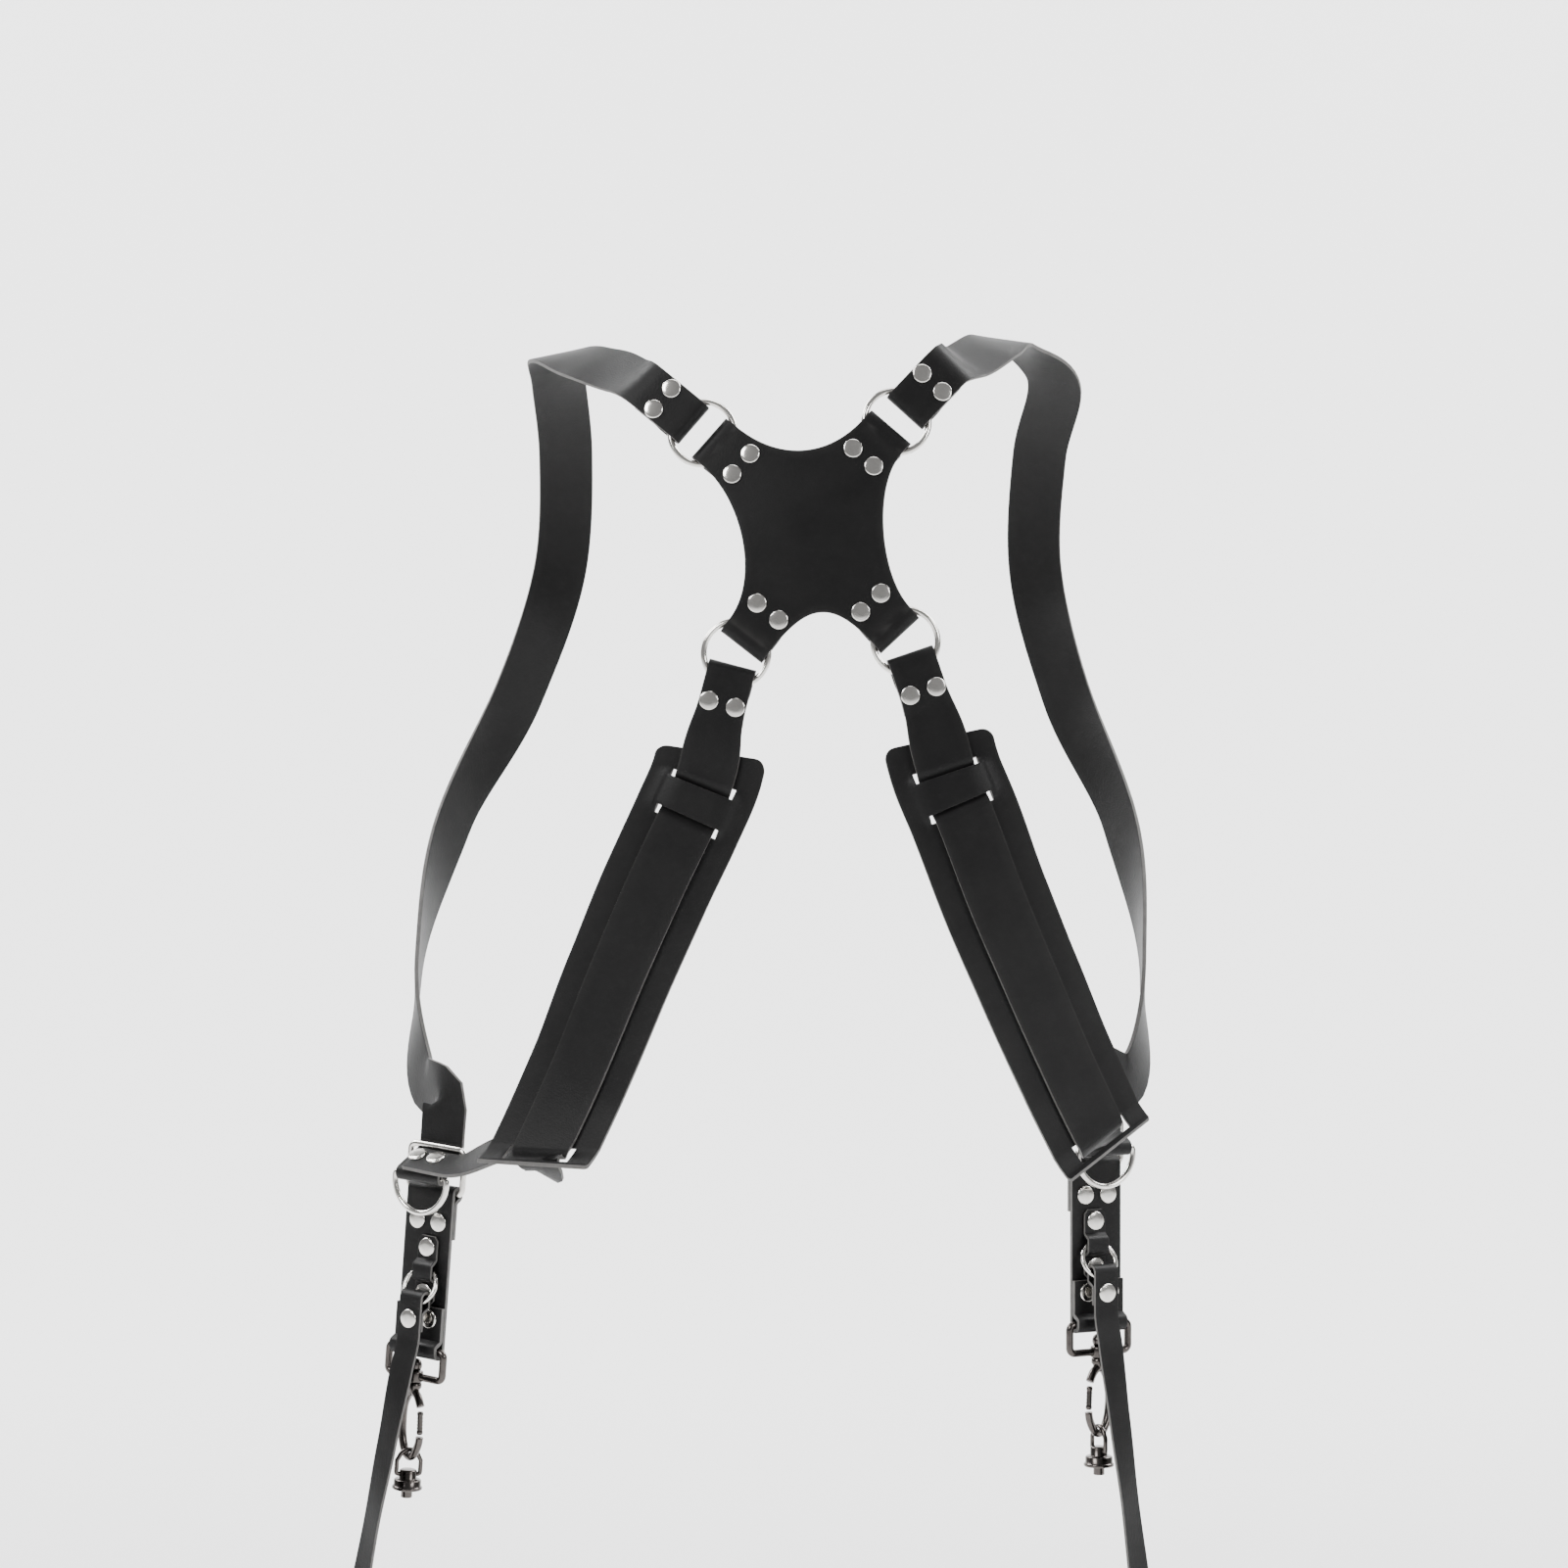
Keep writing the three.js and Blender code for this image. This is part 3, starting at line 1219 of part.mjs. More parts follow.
// The wire that hangs the camera screw on the hook, with its feet turned in to the screw's head.
function screwRing(parent, name) {
  const [w, h] = [SCREW_RING_HALF_WIDTH, SCREW_RING_HEIGHT];
  const foot = SCREW_HEAD_RADIUS - 2;
  const outline = [
    new THREE.Vector2(foot, -h),
    new THREE.Vector2(w, -h),
    new THREE.Vector2(w, -0.45 * h),
    ...arc(0, -0.42 * h, 0.42 * h, 20, 160, 6),
    new THREE.Vector2(-w, -0.45 * h),
    new THREE.Vector2(-w, -h),
    new THREE.Vector2(-foot, -h),
  ];
  const geometry = wire(outline, SCREW_RING_WIRE, WIRE_SIDES, false);
  const ring = add(parent, `screw_ring_${name}`, geometry, gunmetal);
  ring.position.y = SCREW_RING_TOP;
  ring.rotation.y = rad(SCREW_RING_TURN);
}

// The camera screw: a head with a socket for each foot of its ring, a flanged base, and the
// stud that goes into a camera.
function cameraScrew(parent, name) {
  const rise = SCREW_HEAD_HEIGHT / 2;
  const base = -rise - SCREW_BASE_HEIGHT;
  const body = turned(
    [
      [0, base - STUD_LENGTH],
      [STUD_RADIUS, base - STUD_LENGTH],
      [STUD_RADIUS, base],
      [SCREW_BASE_RADIUS, base],
      [SCREW_BASE_RADIUS, base + 1.6],
      [SCREW_BASE_RADIUS - 0.8, base + 2],
      [SCREW_BASE_RADIUS - 0.8, -rise - 0.6],
      [SCREW_BASE_RADIUS - 1.6, -rise],
      [SCREW_HEAD_RADIUS, -rise],
      [SCREW_HEAD_RADIUS, rise - 0.6],
      [SCREW_HEAD_RADIUS - 0.8, rise],
      [0, rise],
    ],
    12,
  ).rotateX(-Math.PI / 2);
  const bore = SCREW_RING_WIRE + GAP;
  const socket = new THREE.CylinderGeometry(bore, bore, 4 * SCREW_HEAD_RADIUS, 8);
  socket.rotateZ(Math.PI / 2);
  const screw = add(parent, `camera_screw_${name}`, cut(body, [socket]), gunmetal);
  screw.position.y = SCREW_PIVOT;
  screw.rotation.y = rad(SCREW_RING_TURN);
}

function hip(place) {
  const { name, side } = place;
  const group = new THREE.Group();
  hipFrame(place).decompose(group.position, group.quaternion, group.scale);
  harness.add(group);
  hipRing(group, name);
  dRing(group, name);
  const holes = tab(group, name, side);
  keeper(group, name, side, holes);
  leashRing(group, name, side);
  leash(group, name, side);
  const hook = new THREE.Group();
  hook.position.set(0, -LOOP_DROP, LOOP_OUT);
  group.add(hook);
  snapLoop(hook, name);
  const swivel = new THREE.Group();
  swivel.rotation.y = rad(side * HOOK_TURN);
  if (side > 0) swivel.rotation.y += Math.PI;
  hook.add(swivel);
  hookBody(swivel, name);
  gate(swivel, name);
  screwRing(swivel, name);
  cameraScrew(swivel, name);
}

backPlate();
oRings();
for (const place of SIDES) {
  shoulderStrap(place);
  sideStrap(place, paddedRoute(place, true));
  pad(place, paddedRoute(place, false));
  hip(place);
}

export default harness;
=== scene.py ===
"""A dual camera harness of black leather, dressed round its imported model.

Lengths in the sizes below are millimetres, and meshes are made in metres in the model's own
frame: +Z up, the wearer faces +Y, and the wearer's left is on the -X side.
"""

from __future__ import annotations

import bisect
import logging
import math
from dataclasses import dataclass
from enum import Enum
from typing import Callable, Sequence

import bmesh
import bpy
from mathutils import Matrix, Vector


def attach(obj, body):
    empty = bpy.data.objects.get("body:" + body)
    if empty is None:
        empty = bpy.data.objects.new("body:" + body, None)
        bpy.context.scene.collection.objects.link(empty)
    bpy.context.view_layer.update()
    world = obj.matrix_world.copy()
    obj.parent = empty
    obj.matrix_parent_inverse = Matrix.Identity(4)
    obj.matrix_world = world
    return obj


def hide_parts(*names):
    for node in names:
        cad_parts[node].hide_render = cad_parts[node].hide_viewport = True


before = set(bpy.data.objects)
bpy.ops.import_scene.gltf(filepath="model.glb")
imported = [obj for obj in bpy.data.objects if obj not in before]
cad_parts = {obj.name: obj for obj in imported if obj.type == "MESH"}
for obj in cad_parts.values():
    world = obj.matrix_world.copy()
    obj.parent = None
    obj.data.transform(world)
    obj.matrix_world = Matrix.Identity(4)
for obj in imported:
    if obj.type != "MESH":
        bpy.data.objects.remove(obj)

LOG = logging.getLogger("harness")
MM = 0.001
UP = Vector((0.0, 0.0, 1.0))
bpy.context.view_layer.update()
PHOTO_PIXELS = 1601

Place = Callable[[float, float, float], Vector]
Triple = tuple[float, float, float]
Pairs = tuple[tuple[float, float], ...]
Colour = Triple | bpy.types.NodeSocket


class Slot(Enum):
    """The material slots of the record."""

    LEATHER = "leather"
    NICKEL = "nickel"
    GUNMETAL = "gunmetal"


class Side(Enum):
    """The wearer's sides, with the sign of their X."""

    LEFT = -1
    RIGHT = 1

    @property
    def label(self) -> str:
        """The side's word in the names of nodes and bodies."""
        return self.name.lower()


def smooth(x: float) -> float:
    """A soft step from 0 to 1."""
    x = min(max(x, 0.0), 1.0)
    return x * x * (3.0 - 2.0 * x)


def spread(first: float, last: float, count: int) -> list[float]:
    """Numbers from first to last, in count equal steps."""
    return [first + (last - first) * i / count for i in range(count + 1)]


def basis(x: Vector, y: Vector, z: Vector, origin: Vector) -> Matrix:
    """A frame from its three directions and its origin.

    Args:
        x: The frame's X direction.
        y: The frame's Y direction.
        z: The frame's Z direction.
        origin: The frame's origin.

    Returns:
        The frame's matrix.
    """
    matrix = Matrix((x, y, z)).transposed().to_4x4()
    matrix.translation = origin
    return matrix


def shifted(matrix: Matrix, x: float, y: float, z: float) -> Matrix:
    """The frame moved along its own axes."""
    return matrix @ Matrix.Translation((x, y, z))


def arc(x: float, y: float, radius: float, start: float, end: float, steps: int) -> list[Vector]:
    """Points of an arc in the XY plane.

    Args:
        x: The middle's X.
        y: The middle's Y.
        radius: The arc's radius.
        start: The first angle, in degrees.
        end: The last angle, in degrees.
        steps: How many steps it takes.

    Returns:
        The points.
    """
    angles = [math.radians(a) for a in spread(start, end, steps)]
    return [Vector((x + radius * math.cos(a), y + radius * math.sin(a), 0.0)) for a in angles]


# Shaders


class Signal:
    """A number in a node tree, with Python's operators as Math nodes."""

    def __init__(self, tree: bpy.types.NodeTree, socket: bpy.types.NodeSocket) -> None:
        """Wraps an output socket of a tree."""
        self.tree = tree
        self.socket = socket

    def _math(self, operation: str, first: Signal | float, second: Signal | float) -> Signal:
        """Adds one Math node.

        Args:
            operation: The node's operation.
            first: The first operand.
            second: The second operand.

        Returns:
            The node's output.
        """
        node = self.tree.nodes.new("ShaderNodeMath")
        node.operation = operation
        for index, value in enumerate((first, second)):
            if isinstance(value, Signal):
                self.tree.links.new(value.socket, node.inputs[index])
            else:
                node.inputs[index].default_value = value
        return Signal(self.tree, node.outputs[0])

    def __add__(self, other: Signal | float) -> Signal:
        """Sum."""
        return self._math("ADD", self, other)

    def __radd__(self, other: float) -> Signal:
        """Reflected sum."""
        return self._math("ADD", other, self)

    def __mul__(self, other: Signal | float) -> Signal:
        """Product."""
        return self._math("MULTIPLY", self, other)

    def __pow__(self, other: float) -> Signal:
        """Power."""
        return self._math("POWER", self, other)


class Paint:
    """A material in the making: its node tree and its main shader."""

    def __init__(self, name: str) -> None:
        """Starts a material with a bare Principled shader.

        Args:
            name: The material's name.
        """
        self.material = bpy.data.materials.new(name)
        self.material.use_nodes = True
        self.tree = self.material.node_tree
        self.shader = self.tree.nodes["Principled BSDF"]

    def node(
        self,
        kind: str,
        settings: dict[str, object] | None = None,
        inputs: dict[str | int, object] | None = None,
    ) -> bpy.types.Node:
        """Adds a node with its settings and inputs.

        Args:
            kind: The node's type.
            settings: Its own settings.
            inputs: Values or signals of its sockets, by name or number.

        Returns:
            The node.
        """
        node = self.tree.nodes.new(kind)
        for key, value in (settings or {}).items():
            setattr(node, key, value)
        self.feed(node, inputs or {})
        return node

    def feed(self, node: bpy.types.Node, inputs: dict[str | int, object]) -> None:
        """Sets or links sockets of a node.

        Args:
            node: The node.
            inputs: Values, sockets or signals, by the socket's name or number.
        """
        for key, value in inputs.items():
            target = node.inputs[key]
            if isinstance(value, Signal):
                value = value.socket
            if isinstance(value, bpy.types.NodeSocket):
                self.tree.links.new(value, target)
            else:
                target.default_value = value

    def signal(self, node: bpy.types.Node, output: str | int = 0) -> Signal:
        """One output of a node as a number."""
        return Signal(self.tree, node.outputs[output])

    def noise(self, scale: float, detail: float = 2.0, roughness: float = 0.5) -> Signal:
        """Noise on the object's own coordinates.

        Args:
            scale: Waves to a metre.
            detail: Octaves.
            roughness: How strong the finer octaves are.

        Returns:
            The noise, about 0 to 1.
        """
        where = self.node("ShaderNodeTexCoord")
        values = {"Vector": where.outputs["Object"], "Scale": scale}
        values |= {"Detail": detail, "Roughness": roughness}
        return self.signal(self.node("ShaderNodeTexNoise", None, values), "Fac")

    def cells(self, scale: float) -> Signal:
        """The distance from the middles of cells, so many to a metre."""
        where = self.node("ShaderNodeTexCoord")
        values = {"Vector": where.outputs["Object"], "Scale": scale}
        return self.signal(self.node("ShaderNodeTexVoronoi", None, values), "Distance")

    def attribute(self, name: str) -> Signal:
        """A number that the mesh carries."""
        return self.signal(self.node("ShaderNodeAttribute", {"attribute_name": name}), "Fac")

    def blend(self, share: Signal, first: Colour, second: Colour) -> bpy.types.NodeSocket:
        """A colour between two.

        Args:
            share: 0 for the first and 1 for the second.
            first: The first colour, or its socket.
            second: The second colour, or its socket.

        Returns:
            The mixed colour's socket.
        """
        inputs = {0: share}
        for key, colour in ((6, first), (7, second)):
            plain = not isinstance(colour, bpy.types.NodeSocket)
            inputs[key] = (*colour, 1.0) if plain else colour
        return self.node("ShaderNodeMix", {"data_type": "RGBA"}, inputs).outputs[2]

    def bump(self, height: Signal, distance: float, strength: float) -> None:
        """Feeds a relief to the shader.

        Args:
            height: The relief, about 0 to 1.
            distance: Its depth in metres.
            strength: How much of it counts.
        """
        values = {"Height": height, "Distance": distance, "Strength": strength}
        node = self.node("ShaderNodeBump", None, values)
        self.feed(self.shader, {"Normal": node.outputs["Normal"]})


@dataclass(frozen=True)
class LeatherFinish:
    """The face of the leather: dyed black, lightly pebbled, waxed to a satin sheen."""

    deep: Triple = (0.0022, 0.0022, 0.0025)
    worn: Triple = (0.006, 0.0058, 0.0058)
    rubbed: Triple = (0.03, 0.029, 0.028)
    grain: float = 1150.0
    fine: float = 3200.0
    clouds: float = 42.0
    creases: float = 95.0
    roughness: float = 0.37
    cloud_haze: float = 0.13
    fine_haze: float = 0.06
    border_haze: float = 0.08
    rub: float = 0.7
    specular: float = 0.2
    relief: float = 0.00016
    relief_strength: float = 0.75
    relief_mix: Triple = (0.62, 0.2, 0.75)

    def make(self) -> bpy.types.Material:
        """Builds the material."""
        paint = Paint("leather_face")
        pebble = paint.cells(self.grain)
        fine = paint.noise(self.fine, 3.0)
        cloud = paint.noise(self.clouds, 3.0, 0.6)
        crease = paint.noise(self.creases, 4.0, 0.7)
        border = paint.attribute("border")
        body = paint.blend(cloud, self.deep, self.worn)
        colour = paint.blend(border * crease * self.rub, body, self.rubbed)
        haze = self.roughness + cloud * self.cloud_haze
        haze = haze + fine * self.fine_haze + border * self.border_haze
        values = {"Base Color": colour, "Roughness": haze, "Specular IOR Level": self.specular}
        paint.feed(paint.shader, values)
        parts = [part * share for part, share in zip((pebble, fine, crease), self.relief_mix)]
        paint.bump(parts[0] + parts[1] + parts[2], self.relief, self.relief_strength)
        return paint.material


@dataclass(frozen=True)
class CutEdgeFinish:
    """The cut edge of the leather: grey fibres, sealed but not dyed through."""

    dark: Triple = (0.035, 0.034, 0.033)
    light: Triple = (0.15, 0.145, 0.14)
    fibre: float = 1500.0
    patch: float = 160.0
    roughness: float = 0.55
    fibre_haze: float = 0.3
    relief: float = 0.00015
    relief_strength: float = 0.6

    def make(self) -> bpy.types.Material:
        """Builds the material."""
        paint = Paint("leather_cut_edge")
        fibres = paint.noise(self.fibre, 4.0, 0.7)
        patches = paint.noise(self.patch, 2.0)
        colour = paint.blend(fibres * 0.6 + patches * 0.5, self.dark, self.light)
        haze = self.roughness + fibres * self.fibre_haze
        paint.feed(paint.shader, {"Base Color": colour, "Roughness": haze})
        paint.bump(fibres, self.relief, self.relief_strength)
        return paint.material


@dataclass(frozen=True)
class MetalFinish:
    """A plated metal, with faint ripples and wear in its polish."""

    name: str
    bright: Triple
    dull: Triple
    roughness: float
    ripple: float
    haze: float = 260.0
    scratches: float = 2400.0
    haze_contrast: float = 1.6
    haze_roughness: float = 0.07
    scratch_roughness: float = 0.05
    relief_strength: float = 0.4

    def make(self) -> bpy.types.Material:
        """Builds the material."""
        paint = Paint(self.name)
        haze = paint.noise(self.haze, 3.0, 0.6)
        scratch = paint.noise(self.scratches, 2.0, 0.7)
        colour = paint.blend(haze ** self.haze_contrast, self.bright, self.dull)
        rough = self.roughness + haze * self.haze_roughness + scratch * self.scratch_roughness
        values = {"Base Color": colour, "Metallic": 1.0, "Roughness": rough}
        paint.feed(paint.shader, values)
        paint.bump(haze * 0.7 + scratch * 0.1, self.ripple, self.relief_strength)
        return paint.material


class Finishes:
    """Every finish of the harness, made once and kept by its record slot."""

    def __init__(self) -> None:
        """Makes the materials."""
        nickel = MetalFinish(
            "bright_nickel", (0.86, 0.84, 0.80), (0.62, 0.60, 0.57), 0.10, 0.00006
        )
        dark = MetalFinish(
            "dark_gunmetal", (0.105, 0.094, 0.088), (0.05, 0.046, 0.045), 0.17, 0.0001
        )
        self.of = {
            Slot.LEATHER: [LeatherFinish().make(), CutEdgeFinish().make()],
            Slot.NICKEL: [nickel.make()],
            Slot.GUNMETAL: [dark.make()],
        }


# Mesh tools


@dataclass(frozen=True)
class Stock:
    """The leather and the clearances that every piece shares."""

    thick: float = 2.2
    leash_thick: float = 1.6
    gap: float = 0.3
    fold_easing: float = 3.2
    tail: float = 36.0
    rivet_setback: float = 26.8
    rivet_spacing: float = 14.0

    @property
    def layer(self) -> float:
        """The step from one layer's middle to the next."""
        return self.thick + self.gap

    @property
    def pair(self) -> tuple[float, float]:
        """The top and bottom of two layers, from the upper one's middle."""
        return self.thick / 2, -self.layer - self.thick / 2


STOCK = Stock()


class Bench:
    """Makes meshes from grids and spun profiles, and dresses them for the frame."""

    grid_slack = 0.25
    corner_share = 0.17
    corner_angle = 50.0
    weld = 1e-4

    def __init__(self, finishes: Finishes) -> None:
        """Keeps the finishes.

        Args:
            finishes: The harness's materials.
        """
        self.finishes = finishes

    def finish(
        self, mesh: bmesh.types.BMesh, name: str, slot: Slot, body: str, nodes: Sequence[str] = ()
    ) -> bpy.types.Object:
        """Turns a bmesh into a piece that rides on a body.

        Args:
            mesh: The shape, in millimetres.
            name: The piece's name.
            slot: Its material slot.
            body: The body that it rides on.
            nodes: The nodes that it stands for.

        Returns:
            The piece.
        """
        bmesh.ops.scale(mesh, vec=(MM, MM, MM), verts=mesh.verts)
        for face in mesh.faces:
            face.smooth = True
        data = bpy.data.meshes.new(name)
        mesh.to_mesh(data)
        mesh.free()
        piece = bpy.data.objects.new(name, data)
        bpy.context.scene.collection.objects.link(piece)
        for material in self.finishes.of[slot]:
            data.materials.append(material)
        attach(piece, body)
        if nodes:
            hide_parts(*nodes)
        LOG.info("%s: %d faces", name, len(data.polygons))
        return piece

    def grid(
        self,
        rows: Sequence[Sequence[Vector]],
        border: Sequence[float] | None = None,
        mesh: bmesh.types.BMesh | None = None,
        opened: Callable[[int, int], bool] | None = None,
    ) -> bmesh.types.BMesh:
        """A sheet of rows of points, shaped from a flat grid.

        Args:
            rows: The points, row by row.
            border: How near the edge each column lies, 0 to 1.
            mesh: A mesh to add to, or none for a new one.
            opened: Whether the cell after a row and a column is left open.

        Returns:
            The mesh.
        """
        mesh = mesh or bmesh.new()
        layer = mesh.verts.layers.float.get("border") or mesh.verts.layers.float.new("border")
        count, width = len(rows) - 1, len(rows[0]) - 1
        made = bmesh.ops.create_grid(mesh, x_segments=count, y_segments=width, size=1.0)

        def cell(place: Vector) -> tuple[int, int]:
            """The row and the column at or before a place of the flat grid."""
            shares = (place.x + 1.0) / 2.0 * count, (place.y + 1.0) / 2.0 * width
            return int(shares[0] + self.grid_slack), int(shares[1] + self.grid_slack)

        gone = [f for f in mesh.faces if opened and opened(*cell(f.calc_center_median()))]
        for vertex in made["verts"]:
            i, j = cell(vertex.co)
            vertex.co = rows[i][j]
            if border:
                vertex[layer] = border[j]
        bmesh.ops.delete(mesh, geom=gone, context="FACES")
        return mesh

    def leather(
        self, mesh: bmesh.types.BMesh, node: str, thick: float = STOCK.thick, name: str = ""
    ) -> None:
        """Gives a sheet its thickness, its cut edge and its softened corners.

        Args:
            mesh: The leather's middle surface, in millimetres.
            node: The node that it stands for.
            thick: The leather's thickness.
            name: The piece's name, where it isn't made from the node's.
        """
        bmesh.ops.recalc_face_normals(mesh, faces=mesh.faces)
        piece = self.finish(mesh, name or f"{node}_leather", Slot.LEATHER, "root", [node])
        wall = piece.modifiers.new("thickness", "SOLIDIFY")
        wall.thickness = thick * MM
        wall.offset = 0.0
        wall.material_offset_rim = 1
        corners = piece.modifiers.new("corners", "BEVEL")
        corners.width = self.corner_share * thick * MM
        corners.segments = 2
        corners.profile = 0.5
        corners.material = -1
        corners.limit_method = "ANGLE"
        corners.angle_limit = math.radians(self.corner_angle)

    def metal(
        self,
        mesh: bmesh.types.BMesh,
        node: str,
        kind: str,
        slot: Slot = Slot.NICKEL,
        body: str = "root",
    ) -> None:
        """Turns a metal shape into the piece that stands for a node.

        Args:
            mesh: The shape, in millimetres.
            node: The node.
            kind: The last word of the piece's name.
            slot: Its material slot.
            body: The body that it rides on.
        """
        self.finish(mesh, f"{node}_{kind}", slot, body, [node])

    def tube(
        self,
        points: Sequence[Vector],
        radius: float | Sequence[float],
        frame_of: Matrix,
        closed: bool = True,
        sides: int = 16,
        mesh: bmesh.types.BMesh | None = None,
    ) -> bmesh.types.BMesh:
        """A round wire along points of a frame's XY plane.

        Args:
            points: The wire's middle line.
            radius: Its radius, or one for each point.
            frame_of: The frame of the points.
            closed: Whether it runs full circle.
            sides: How many sides its section has.
            mesh: A mesh to add to, or none for a new one.

        Returns:
            The mesh.
        """
        count = len(points)
        radii = [radius] * count if isinstance(radius, (int, float)) else radius
        rows = []
        for i, point in enumerate(points):
            before = points[i - 1] if closed or i else point
            after = points[(i + 1) % count] if closed or i < count - 1 else point
            along = (after - before).normalized()
            side = Vector((-along.y, along.x, 0.0))
            ring = []
            for k in range(sides + 1):
                angle = 2.0 * math.pi * (k % sides) / sides
                offset = side * math.cos(angle) + UP * math.sin(angle)
                ring.append(frame_of @ (point + offset * radii[i]))
            rows.append(ring)
        if closed:
            rows.append(rows[0])
        part = self.grid(rows)
        bmesh.ops.remove_doubles(part, verts=part.verts, dist=self.weld)
        if not closed:
            bmesh.ops.holes_fill(part, edges=[e for e in part.edges if e.is_boundary], sides=0)
        bmesh.ops.recalc_face_normals(part, faces=part.faces)
        return self.merged(part, mesh)

    def spun(
        self,
        profile: Sequence[tuple[float, float]],
        frame_of: Matrix,
        steps: int = 40,
        mesh: bmesh.types.BMesh | None = None,
    ) -> bmesh.types.BMesh:
        """A turned piece about a frame's Z.

        Args:
            profile: Pairs of radius and height.
            frame_of: The frame whose Z it turns about.
            steps: Steps to a full turn.
            mesh: A mesh to add to, or none for a new one.

        Returns:
            The mesh.
        """
        part = bmesh.new()
        verts = [part.verts.new((max(r, 0.0), 0.0, h)) for r, h in profile]
        edges = [part.edges.new(pair) for pair in zip(verts, verts[1:])]
        bmesh.ops.spin(
            part,
            geom=verts + edges,
            cent=(0.0, 0.0, 0.0),
            axis=(0.0, 0.0, 1.0),
            angle=2.0 * math.pi,
            steps=steps,
            use_merge=True,
            use_duplicate=False,
        )
        bmesh.ops.remove_doubles(part, verts=part.verts, dist=self.weld)
        bmesh.ops.recalc_face_normals(part, faces=part.faces)
        bmesh.ops.transform(part, matrix=frame_of, verts=part.verts)
        return self.merged(part, mesh)

    @staticmethod
    def merged(part: bmesh.types.BMesh, mesh: bmesh.types.BMesh | None) -> bmesh.types.BMesh:
        """Adds a part to a mesh.

        Args:
            part: The part, which is used up.
            mesh: The mesh to add it to, or none.

        Returns:
            The mesh with the part, or the part itself.
        """
        if mesh is None:
            return part
        data = bpy.data.meshes.new("part")
        part.to_mesh(data)
        part.free()
        mesh.from_mesh(data)
        bpy.data.meshes.remove(data)
        return mesh


# The leather's ways


class Pen:
    """A layer of leather seen from its edge: how far along and how far off each place lies."""

    def __init__(self, s: float, n: float, heading: float) -> None:
        """Starts the layer.

        Args:
            s: Where it starts along the strip.
            n: Where it starts off the strip.
            heading: Its first direction, in degrees.
        """
        self.points = [(s, n)]
        self.heading = math.radians(heading)

    def _step(self, ahead: float, left: float, origin: tuple[float, float]) -> tuple[float, float]:
        """A place ahead and to the left of another."""
        c, d = math.cos(self.heading), math.sin(self.heading)
        return origin[0] + ahead * c - left * d, origin[1] + ahead * d + left * c

    def run(self, length: float, steps: int = 1) -> Pen:
        """Runs straight on."""
        for _ in range(steps):
            self.points.append(self._step(length / steps, 0.0, self.points[-1]))
        return self

    def turn(self, radius: float, degrees: float, steps: int) -> Pen:
        """Turns round a wire.

        Args:
            radius: The turn's radius.
            degrees: Its angle, positive to the left.
            steps: How many steps it takes.

        Returns:
            The pen.
        """
        part = math.radians(degrees) / steps
        side = math.copysign(1.0, degrees)
        for _ in range(steps):
            ahead = radius * math.sin(abs(part))
            left = side * radius * (1.0 - math.cos(part))
            self.points.append(self._step(ahead, left, self.points[-1]))
            self.heading += part
        return self

    def ease(self, length: float, shift: float, steps: int = 7) -> Pen:
        """Eases sideways by a shift while it runs on."""
        start = self.points[-1]
        for i in range(1, steps + 1):
            place = self._step(length * i / steps, shift * smooth(i / steps), start)
            self.points.append(place)
        return self

    def fold(self, radius: float, cavity: float, tail: float, side: int, layer: float) -> Pen:
        """Ends the layer with its tail folded back round a wire.

        Args:
            radius: The fold's radius.
            cavity: How far the fold stays open past the wire's middle.
            tail: The tail's length.
            side: 1 for a tail on the outer side, -1 on the inner.
            layer: The distance between strap and tail.

        Returns:
            The pen.
        """
        self.turn(radius, side * 180.0, 14).run(cavity, 3)
        self.ease(STOCK.fold_easing, side * (2.0 * radius - layer))
        return self.run(tail - cavity - STOCK.fold_easing, 6)


def folded_start(
    wire_at: float, radius: float, cavity: float, tail: float, layer: float = STOCK.layer
) -> Pen:
    """Starts a layer with a tail folded under it round a wire.

    Args:
        wire_at: Where the wire's middle lies along the strip.
        radius: The fold's radius.
        cavity: How far the fold stays open.
        tail: Where the tail ends.
        layer: The distance between strap and tail.

    Returns:
        The pen, at the wire and heading along the strip.
    """
    pen = Pen(tail, -layer, 180.0)
    pen.run(tail - cavity - STOCK.fold_easing, 5)
    pen.ease(STOCK.fold_easing, 2.0 * radius - layer)
    pen.run(cavity - wire_at, 3)
    return pen.turn(radius, -180.0, 14)


